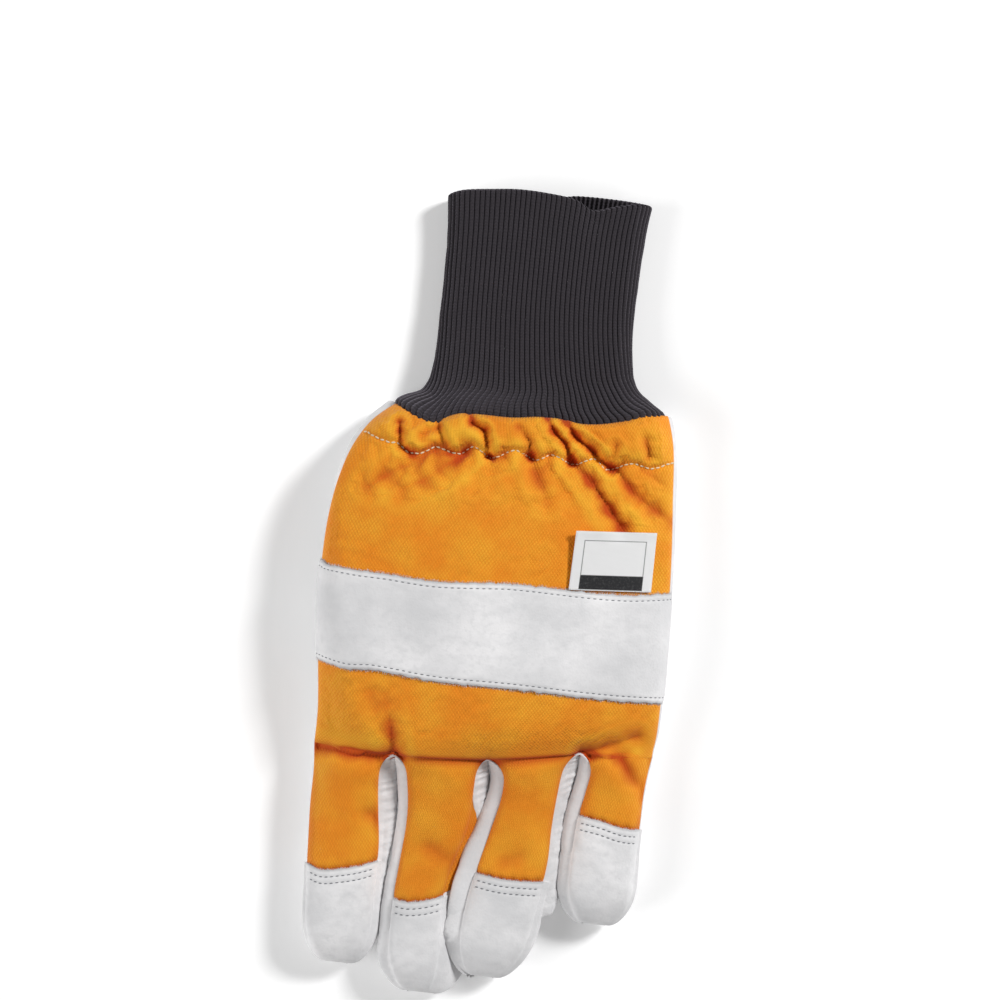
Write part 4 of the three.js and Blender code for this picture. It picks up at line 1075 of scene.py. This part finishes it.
def band_point(across, share, raised=1.55):
    """Place on the knuckle band, and how raw its edge is there."""
    round_way = 0.5 - 0.5 * math.cos(math.pi * across)
    dome = mix(across, round_way, smooth(abs(2 * across - 1) / 0.7))
    about = mix(-66, 65, dome)
    middle = mix(edge_at(BAND_BOTTOM, about), edge_at(BAND_TOP, about), share) / HAND_LENGTH
    start, end = top_run(hand_section(round(middle, 4)))
    x = mix(start, end, dome)
    low, high = edge_at(BAND_BOTTOM, x), edge_at(BAND_TOP, x)
    long_seed, short_seed = (3, 5) if share > 0.5 else (8, 2)
    ragged = 0.55 * uneven(x * 0.35, long_seed, 1) + 0.3 * uneven(x * 1.3, short_seed, 1)
    y = mix(low, high, share) + ragged * smooth((abs(2 * share - 1) - 0.92) / 0.08)
    edge = rim(share) * (high - low)
    groove = 0.18 * bell(edge - 2.0, 0.5)
    thin = 0.7 * bell(edge, 0.9)
    flow = 0.45 * ripple(x, y, 15.0, 11.0) + 0.16 * ripple(x, y, 4.5, 13.0)
    lie = raised - groove - thin + flow * smooth(edge / 4) * smooth(rim(across) / 0.05)
    aside = abs(2 * dome - 1) ** 9 * (1 if dome > 0.5 else -1)
    point, _ = back_point(dome, round(clamp(y / HAND_LENGTH), 4), creased=False)
    sunk = 0.5 * creases(x, y)[0] * (1 - abs(aside))
    height = point.z - sunk + lie * math.sqrt(1 - aside * aside)
    return Vector((x + lie * 0.75 * aside, y, height)), smooth(1 - edge / 1.5)


class GLOVE_OT_knuckle_band(GlovePiece, bpy.types.Operator):
    """Bare leather band across the back, with raw edges and two rows of stitches"""

    bl_idname = "glove.knuckle_band"
    bl_label = "Knuckle band"

    def make(self, sizes):
        columns = [-0.01, -0.005] + spread(0, 1, 200) + [1.005, 1.01]
        rows = stations((0, 0.12, 16), (0.12, 0.88, 28), (0.88, 1, 16))

        def place(across, share):
            point, raw = band_point(clamp(across), share)
            return sewn_in(point, across, 0.01, 1.5), raw

        def flat(across, share):
            return across * BAND_FLAT[0], share * BAND_FLAT[1]

        bm = sheet_mesh(columns, rows, place, flat, (0, 50, 6))
        finished(bm, "knuckle_band_leather", "pale_goatskin", ("knuckle_band",), sizes.leather)
        lines = [
            [band_point(across, share, 1.62)[0] for across in spread(0.03, 0.97, 240)]
            for share in BAND_ROWS
        ]
        row = {"pitch": sizes.stitch_pitch, "length": sizes.stitch_length, "thread": sizes.thread * 0.65}
        sew("knuckle_band_stitches", "grey_thread", lines, **row)
        edges = [
            ([band_point(across, share, 1.0)[0] for across in spread(0, 1, 120)], way, seed)
            for share, way, seed in ((0.004, (0, -1, 0), 3), (0.996, (0, 1, 0), 4))
        ]
        fray("knuckle_band_fray", edges, sizes.fray, 0.00016)


class GLOVE_OT_size_label(GlovePiece, bpy.types.Operator):
    """Woven label without words, sewn under the band and free at its other end"""

    bl_idname = "glove.size_label"
    bl_label = "Label"

    def make(self, sizes):
        corners = [Vector(corner) for corner in LABEL_CORNERS]

        def place(u, v):
            x, y = corners[0].lerp(corners[1], u).lerp(corners[3].lerp(corners[2], u), v)
            curl = 0.9 * v**2 + 1.0 * smooth((0.14 - u) / 0.14) * v + 0.5 * smooth((v - 0.85) / 0.15)
            wave = 0.25 * math.sin(5.5 * u + 1) * v
            return back_at(x, y, 1.2 + curl + wave), 0.0

        bm = sheet_mesh(spread(0, 1, 48), spread(0, 1, 36), place, lambda u, v: (u, v), (40, 80, 6))
        piece = finished(bm, "size_label_tape", "woven_tape", ("size_label",), sizes.tape)


class GLOVE_OT_finger_backs(GlovePiece, bpy.types.Operator):
    """Textile backs of the four fingers"""

    bl_idname = "glove.finger_backs"
    bl_label = "Finger backs"

    def make(self, sizes):
        for f, name in enumerate(FINGER_NAMES):
            length, width = FINGER_LENGTH[f], FINGER_WIDTH[f]
            reach = 1 - CAP_LENGTH[f] / length

            def place(share, out, f=f, length=length, reach=reach):
                end = cap_start(f, clamp(share))
                along = mix(-0.9 / length, end + CAP_OVERLAP / length, out / reach)
                point, depth = finger_top(f, share if f == 1 else clamp(share), along)
                if f != 1:
                    point = sewn_in(point, share, 0.05)
                before = (end - along) * length
                tucked = 0.9 * smooth(1 - before / 2.5)
                pinch = 0.35 * bell(before, 2.5) * math.sin(point.x * 1.35 + 2 * f)
                point.z -= tucked + pinch
                # Painted shade on the cloth just before it goes under the cap's edge
                return point, max(depth, 0.6 * smooth(1 - before / 2.0))

            def flat(share, out, f=f, width=width, length=length):
                return share * width + 200 * f, -out * length

            rows = spread(reach, 0, round(length * reach / 0.75))
            columns = spread(0, 1, 44, "both")
            if f == 0:
                columns = [-0.05, -0.025] + columns
            elif f == 1:
                columns += spread(1, 1.14, 6)[1:]
            elif f == 3:
                columns += [1.025, 1.05]
            bm = sheet_mesh(columns, rows, place, flat, finger_inside(f, -20))
            node = "finger_back_" + name
            piece = finished(bm, node + "_cloth", "orange_oxford", (node,), sizes.cloth)


def cap_edge(f, share):
    """Ragged start of a fingertip cap."""
    ragged = 0.4 * uneven(share * 11 + 5 * f, 3, 2) + 0.2 * uneven(share * 40, 5 + f, 2)
    return cap_start(f, share) - ragged / FINGER_LENGTH[f]


def cap_fold(f, share, out):
    """Place on a cap's end, past 1, where it folds under the fingertip."""
    low = 0.45 * (out - 1) / 0.12
    along = 1 - (1 - (1 - low**2) ** (1 / 2.4)) * TIP_ROUND / FINGER_LENGTH[f]
    section = finger_section(f, along)
    across, wider = clamp(share), 1.7 * low
    x = mix(section["left"] - wider, section["right"] + wider, across)
    return settle(x, finger_y(f, along, across) - TIP_PUSH, section["bottom"] - 0.8 * low, 2)


def cap_point(f, share, out, raised=0.75):
    """Place on a fingertip cap, with a share past 0 or 1 down its sides, and how raw its edge is there."""
    if out > 1:
        return cap_fold(f, share, out), 0.0
    length, across = FINGER_LENGTH[f], clamp(share)
    start = cap_edge(f, across)
    along = mix(start, 1, out)
    away, left_over = (along - cap_start(f, across)) * length, (1 - along) * length
    section = finger_section(f, along)
    y = finger_y(f, along, across) - TIP_PUSH * smooth(1 - left_over / 5)
    lie = raised * smooth((1 - along) / 0.25)
    if share < 0 or share > 1:
        name, way = ("left", -1) if share < 0 else ("right", 1)
        down = (abs(share - 0.5) - 0.5) * mix(0.25, 1, smooth((away - 9) / 14))
        if f == 1 and share > 1:
            down *= mix(0.5, 1, smooth((away - 22) / 8))
        reach = 1 - section[name + "_side"]["widest"] * (1 - smooth(1.6 - 1.6 * left_over / TIP_ROUND))
        x, z = side_point(section, name, 1 - down * reach)
        bulge = smooth(down * 3) * mix(0.55, 1, smooth((1 - along) / 0.06))
        z += lie * (1 - 0.4 * bulge)
        z += 0.5 * bulge * (1 - down)
        return settle(x + way * 0.9 * bulge, y, z, 2), 0.0
    x, z = top_point(section, share)
    calm = smooth(rim(share) / 0.1) * smooth((1 - along) / 0.1)
    rows = sum(0.18 * bell(away - row, 0.5) for row in CAP_ROWS)
    thin = 0.45 * bell((along - start) * length, 0.8)
    flow = 0.6 * ripple(x, y, 12.0, 21.0 + f) + 0.22 * ripple(x, y, 4.0, 31.0)
    z += lie - rows - thin + flow * calm * smooth((away - 4) / 6)
    return settle(x, y, z, 2), smooth(1 - away / 1.4)


class GLOVE_OT_fingertips(GlovePiece, bpy.types.Operator):
    """Leather caps over the fingertips, each with a raw edge and two rows of stitches"""

    bl_idname = "glove.fingertips"
    bl_label = "Fingertip caps"

    def make(self, sizes):
        lines, edges = [], []
        columns = stations((-1, 0, 12), (0, 1, 44, "both"), (1, 2, 12))
        rows = [-0.12, -0.08, -0.05, -0.025, *stations((0, 0.3, 30, "start"), (0.3, 0.8, 30), (0.8, 1, 24))]
        for f, name in enumerate(FINGER_NAMES):
            length, cap = FINGER_LENGTH[f], CAP_LENGTH[f]

            def place(share, back, f=f):
                return cap_point(f, share, 1 - back)

            def flat(share, back, f=f, cap=cap):
                return share * FINGER_WIDTH[f] + 200 * f, back * cap

            bm = sheet_mesh(columns, rows, place, flat, finger_inside(f, 20 - length))
            bmesh.ops.remove_doubles(bm, verts=bm.verts, dist=0.0001)
            finished(bm, f"fingertip_{name}_leather", "pale_goatskin", (f"fingertip_{name}",), sizes.leather)
            lines += [[self.sewn(f, share, away) for share in spread(0.05, 0.95, 80)] for away in CAP_ROWS]
            edge = [cap_point(f, share, 0.002, 0.5)[0] for share in spread(0.02, 0.98, 50)]
            edges.append((edge, (0, 1, 0), 10 + f))
        row = {
            "pitch": sizes.stitch_pitch * 0.92,
            "length": sizes.stitch_length,
            "thread": sizes.thread * 0.7,
        }
        sew("fingertip_stitches", "grey_thread", lines, **row)
        fray("fingertip_fray", edges, sizes.fray * 0.7, 0.0002)

    @staticmethod
    def sewn(f, share, away):
        """Place of a stitch, at its distance from the mean edge."""
        start = cap_edge(f, share)
        along = cap_start(f, share) + away / FINGER_LENGTH[f]
        return cap_point(f, share, (along - start) / (1 - start), 0.9)[0]


def gap_beside(f, y, on_right):
    """Free space between a finger's wall and the next finger's at the same distance."""
    left_one, right_one = (f, f + 1) if on_right else (f - 1, f)
    before, after = finger_along(left_one, y, 1), finger_along(right_one, y, 0)
    if before > 1 or after > 1:
        return 0.0
    start = finger_section(left_one, round(before, 4))["right"]
    return max(0.0, finger_section(right_one, round(after, 4))["left"] - start)


class GLOVE_OT_gussets(GlovePiece, bpy.types.Operator):
    """Leather walls between the fingers, each with a rolled edge round the crotch"""

    bl_idname = "glove.gussets"
    bl_label = "Finger gussets"

    def make(self, sizes):
        roll = sizes.gusset_roll * 1000
        for f in range(3):
            name = f"gusset_{FINGER_NAMES[f]}_{FINGER_NAMES[f + 1]}"

            def place(down, way, f=f, roll=roll):
                return self.wall_point(f, down, way, roll)

            def flat(down, way):
                return down * 16, way * 90

            rows = stations((-1, 0, 110, "end"), (0, 1, 110, "start"))
            middle = (ROOT_X[f + 1], ROOT_Y[f + 1] - 40, -300)
            bm = sheet_mesh(spread(0, 1, 30), rows, place, flat, middle)
            finished(bm, name + "_leather", "pale_goatskin", (name,), sizes.leather * 0.7)

    @staticmethod
    def wall_point(f, down, way, roll):
        """Place on a gusset, whose way runs from one tip at -1 round the crotch to the next at 1."""
        on_right = way < 0
        finger, name = (f, "right") if on_right else (f + 1, "left")
        # How much of the free gap the wall fills, the most of it, its puff and its crimps
        gap_share, gap_most, puff, crimped = (0.8, 3.8, 1.6, 0.7) if on_right else (0.06, 0.3, 0.0, 0.14)
        along = abs(way) * GUSSET_END
        length = FINGER_LENGTH[finger]
        away = along * length
        section = finger_section(finger, round(along, 5))
        widest = section[name + "_side"]["widest"]
        share = 1 - down / LIP_END * (1 - widest) if down < LIP_END else widest * (1 - down) / (1 - LIP_END)
        x, z = side_point(section, name, share)
        y = finger_y(finger, along, 1 if on_right else 0)
        opening = roll_opening(away)
        turn = math.pi / 2 * (1 - opening if on_right else 1 + opening)
        outward = Vector((math.cos(turn), -math.sin(turn), 0))
        # The rolled edge fades out where the caps begin
        fading = smooth(((1 - along) * length - CAP_LENGTH[finger] + 22) / 12)
        round_lip = math.sin(math.pi * clamp((down + 0.05) / (LIP_END + 0.13))) ** 0.65
        rolled = roll * (mix(0.9, 0.4, opening) if on_right else 1.0) * round_lip * fading
        over = 0.8 * bell(down, 0.06) * fading * smooth(away / 5)
        # Where the middle finger's wall goes under the ring finger it lies flat
        crossing = f == 1 and on_right
        hidden = smooth((along - 0.2) / 0.2) * (1 - smooth((along - 0.5) / 0.1)) if crossing else 0.0
        rolled, over = rolled * (1 - hidden), over * (1 - 4 * hidden)
        gap = gap_beside(finger, y, on_right) if opening > 0.3 else 0.0
        lower = math.sin(math.pi * clamp((down - 0.15) / 0.85))
        fill = min(gap * gap_share, gap_most) * lower * smooth((1 - along) / 0.3) * opening
        fill *= 1 - 0.7 * hidden
        puffed = puff * (1 - hidden) * lower * fading * opening - 1.5 * hidden * smooth(1 - down / 0.7)
        web = max(0.0, 12.5 - z) * bell(away, 5.0)
        wrinkle = uneven(y * 0.75 + z * 0.55, z * 0.12 - y * 0.1, 5.0 * f + (0 if on_right else 3))
        crimp = crimped * wrinkle * smooth(down / 0.15) * fading
        soft = 0.45 * ripple(y, z * 2, 9.0, 40 + f) * smooth(down / 0.2) * fading
        point = Vector((x, y, z)) + outward * (rolled * 0.35 - over + fill + crimp * 0.5 + soft)
        rise = ROOT_RISE * bell(away, 14) * smooth(1 - down / 0.8)
        point.z += 0.9 * bell(away, 2.5) * smooth(1 - down / 0.5)
        point.z += rise + rolled * 0.85 + 0.45 * over + puffed + web + crimp * 0.7
        if crossing:
            shift = 4.9 * under_ring(along) * (1 - smooth(down / 0.6)) * (1 - smooth((along - 0.5) / 0.1))
            point += Vector((shift, 0, -0.75 * shift))
        return settle(*point, 1.6), 0.0


class SewnShell(GlovePiece):
    """A copy of a solid's sewn leather, in quads and smoothed."""

    node = ""

    def make(self, sizes):
        bm = bmesh.new()
        bm.from_mesh(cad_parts[self.node].data)
        bmesh.ops.remove_doubles(bm, verts=bm.verts, dist=0.000002)
        kept_apart = dict.fromkeys(("cmp_seam", "cmp_sharp", "cmp_uvs", "cmp_vcols", "cmp_materials"), False)
        bmesh.ops.join_triangles(
            bm,
            faces=bm.faces,
            angle_face_threshold=math.radians(50),
            angle_shape_threshold=math.radians(60),
            **kept_apart,
        )
        bmesh.ops.subdivide_edges(bm, edges=bm.edges, cuts=1, use_grid_fill=True, smooth=0.0)
        bm.verts.layers.float.new("mark")
        bm.normal_update()
        for vert in bm.verts:
            at = vert.co * 1000
            wave = 0.22 * noise.noise(at / 9) + 0.1 * noise.noise(at / 3)
            vert.co += vert.normal * wave / 1000
            vert.co.z = max(vert.co.z, 0.0002)
        piece = finished(bm, self.node + "_leather", "pale_goatskin", (self.node,))
        soft = piece.modifiers.new("soft", "SUBSURF")
        soft.levels = soft.render_levels = 1


class GLOVE_OT_palm(SewnShell, bpy.types.Operator):
    """Leather palm with the finger fronts and the outer side walls"""

    bl_idname = "glove.palm"
    bl_label = "Palm"
    node = "palm"


class GLOVE_OT_thumb(SewnShell, bpy.types.Operator):
    """Leather thumb, folded flat under the palm"""

    bl_idname = "glove.thumb"
    bl_label = "Thumb"
    node = "thumb"


def stadium(half_width, half_height, share):
    """Place on a flattened ring, with its outward way."""
    straight, turn = 2 * (half_width - half_height), math.pi * half_height
    way = (share % 1) * 2 * (straight + turn)
    side = 1 if way < straight + turn else -1
    if side < 0:
        way -= straight + turn
    if way < straight:
        return side * (way - straight / 2), side * half_height, 0.0, side
    angle = (way - straight) / half_height
    nx, nz = side * math.sin(angle), side * math.cos(angle)
    return side * straight / 2 + half_height * nx, half_height * nz, nx, nz


class GLOVE_OT_cuff(GlovePiece, bpy.types.Operator):
    """Rib-knit cuff with a rounded hem, its mouth slightly open"""

    bl_idname = "glove.cuff"
    bl_label = "Knit cuff"

    def make(self, sizes):
        depth = sizes.rib_depth * 1000
        count, turned = RIB_COUNT * 8, 1 + 2 * KNIT_HEM
        columns = [i / count for i in range(count + 1)]
        rows = stations((0, 0.2, 14), (0.2, 1, 36), (1, turned, 10), (turned, 1 + turned, 14))

        def place(share, way):
            if way <= 1:
                along, inward = way, 0.0
            elif way <= turned:
                angle = (way - 1) / (2 * KNIT_HEM) * math.pi
                along, inward = 1 + 0.012 * math.sin(angle), KNIT_WALL / 2 * (1 - math.cos(angle))
            else:
                along, inward = 1 + turned - way, KNIT_WALL
            return self.knit_point(share, along, inward, depth), 0.0

        def flat(share, way):
            return share * RIB_COUNT, way * CUFF_LENGTH

        bm = sheet_mesh(columns, rows, place, flat, (0, 170, 7))
        bmesh.ops.remove_doubles(bm, verts=bm.verts, dist=0.000001)
        open_edges = [edge for edge in bm.edges if edge.is_boundary]
        bmesh.ops.bridge_loops(bm, edges=open_edges)
        finished(bm, "cuff_rib_knit", "dark_rib_knit", ("cuff",))

    @staticmethod
    def knit_point(share, along, inward, depth):
        """Place on the knit, between the outline's two sides and wavy at its open end."""
        left, right = column(CUFF, "left", along), column(CUFF, "right", along)
        half, centre = CUFF_WIDTH * (right - left) / 2, CUFF_WIDTH * (right + left) / 2
        half_height = CUFF_HEIGHT * column(CUFF, "height", along) / 2
        x, z, nx, nz = stadium(half - KNIT_INSET - inward, half_height - KNIT_INSET - inward, share)
        ridge = math.sqrt(abs(math.cos(math.pi * RIB_COUNT * share)))
        rib = depth * 1.25 * (ridge - 0.65)
        rib += 0.25 * ripple(x, along * 80, 11.0, 50) + 0.12 * ripple(x, along * 80, 3.5, 51)
        px = centre + x + nx * rib
        ends = smooth((along - 0.45) / 0.55)
        front, back = edge_at(MOUTH_FRONT, px), edge_at(MOUTH_BACK, px)
        shift = mix(back, front, smooth(nz * 0.5 + 0.5)) * ends
        fold = 2.2 * bell(px - 19.5, 4.5) * smooth((along - 0.86) / 0.14) * smooth(nz * 2)
        base = HAND_LENGTH + edge_at(WRIST_EDGE, clamp(px, -54, 59)) - 2.0
        y = mix(base, HAND_LENGTH + CUFF_LENGTH, along) + shift
        return settle(px, y, max(half_height + z + nz * rib - fold, 0.2), 0)


class GLOVE_OT_studio(bpy.types.Operator):
    """Pale table, soft lights and the camera above the glove"""

    bl_idname = "glove.studio"
    bl_label = "Studio"

    def execute(self, context):
        scene = context.scene
        bm = bmesh.new()
        bmesh.ops.create_grid(bm, x_segments=8, y_segments=8, size=TABLE_SIZE)
        mesh = bpy.data.meshes.new("table")
        bm.to_mesh(mesh)
        bm.free()
        mesh.materials.append(material_of("pale_table"))
        table_top = bpy.data.objects.new("table", mesh)
        scene.collection.objects.link(table_top)
        world = scene.world or bpy.data.worlds.new("studio")
        scene.world = world
        world.use_nodes = True
        sky = world.node_tree.nodes["Background"].inputs
        sky["Color"].default_value, sky["Strength"].default_value = (1, 1, 1, 1), WORLD_LIGHT
        for name, place, size, power in LIGHTS:
            light = bpy.data.lights.new(name, "AREA")
            light.shape = "SQUARE"
            light.size = size
            light.energy = power
            lamp = bpy.data.objects.new(name, light)
            lamp.location = place
            lamp.rotation_euler = (-Vector(place)).to_track_quat("-Z", "Y").to_euler()
            scene.collection.objects.link(lamp)
        eye = bpy.data.cameras.new("camera")
        eye.lens, eye.sensor_width = LENS, SENSOR
        camera = bpy.data.objects.new("camera", eye)
        x, y, height = VIEW_MIDDLE
        camera.location = (x, y, VIEW_WIDTH * LENS / SENSOR + height)
        camera.rotation_euler = (0, 0, VIEW_TURN)
        scene.collection.objects.link(camera)
        scene.camera = camera
        scene.view_settings.view_transform = "Standard"
        return {"FINISHED"}


PIECES = (
    GLOVE_OT_hand_back,
    GLOVE_OT_knuckle_band,
    GLOVE_OT_size_label,
    GLOVE_OT_finger_backs,
    GLOVE_OT_fingertips,
    GLOVE_OT_gussets,
    GLOVE_OT_palm,
    GLOVE_OT_thumb,
    GLOVE_OT_cuff,
    GLOVE_OT_studio,
)


class GLOVE_PT_pieces(bpy.types.Panel):
    """Buttons for the pieces, and their sizes and colours"""

    bl_idname = "GLOVE_PT_pieces"
    bl_label = "Work glove"
    bl_space_type = "VIEW_3D"
    bl_region_type = "UI"
    bl_category = "Glove"

    def draw(self, context):
        for piece in PIECES:
            self.layout.operator(piece.bl_idname, text=piece.bl_label)
        for group in (context.scene.glove_sizes, context.scene.glove_look):
            box = self.layout.box()
            for name in group.bl_rna.properties.keys():
                if name not in ("rna_type", "name"):
                    box.prop(group, name)


CLASSES = (GloveSizes, GloveLook, *PIECES, GLOVE_PT_pieces)


def register():
    for cls in CLASSES:
        bpy.utils.register_class(cls)
    bpy.types.Scene.glove_sizes = PointerProperty(type=GloveSizes)
    bpy.types.Scene.glove_look = PointerProperty(type=GloveLook)


def unregister():
    del bpy.types.Scene.glove_look
    del bpy.types.Scene.glove_sizes
    for cls in reversed(CLASSES):
        bpy.utils.unregister_class(cls)


def main():
    register()
    bpy.ops.glove.hand_back()
    bpy.ops.glove.knuckle_band()
    bpy.ops.glove.size_label()
    bpy.ops.glove.finger_backs()
    bpy.ops.glove.fingertips()
    bpy.ops.glove.gussets()
    bpy.ops.glove.palm()
    bpy.ops.glove.thumb()
    bpy.ops.glove.cuff()
    bpy.ops.glove.studio()


if __name__ == "__main__":
    main()
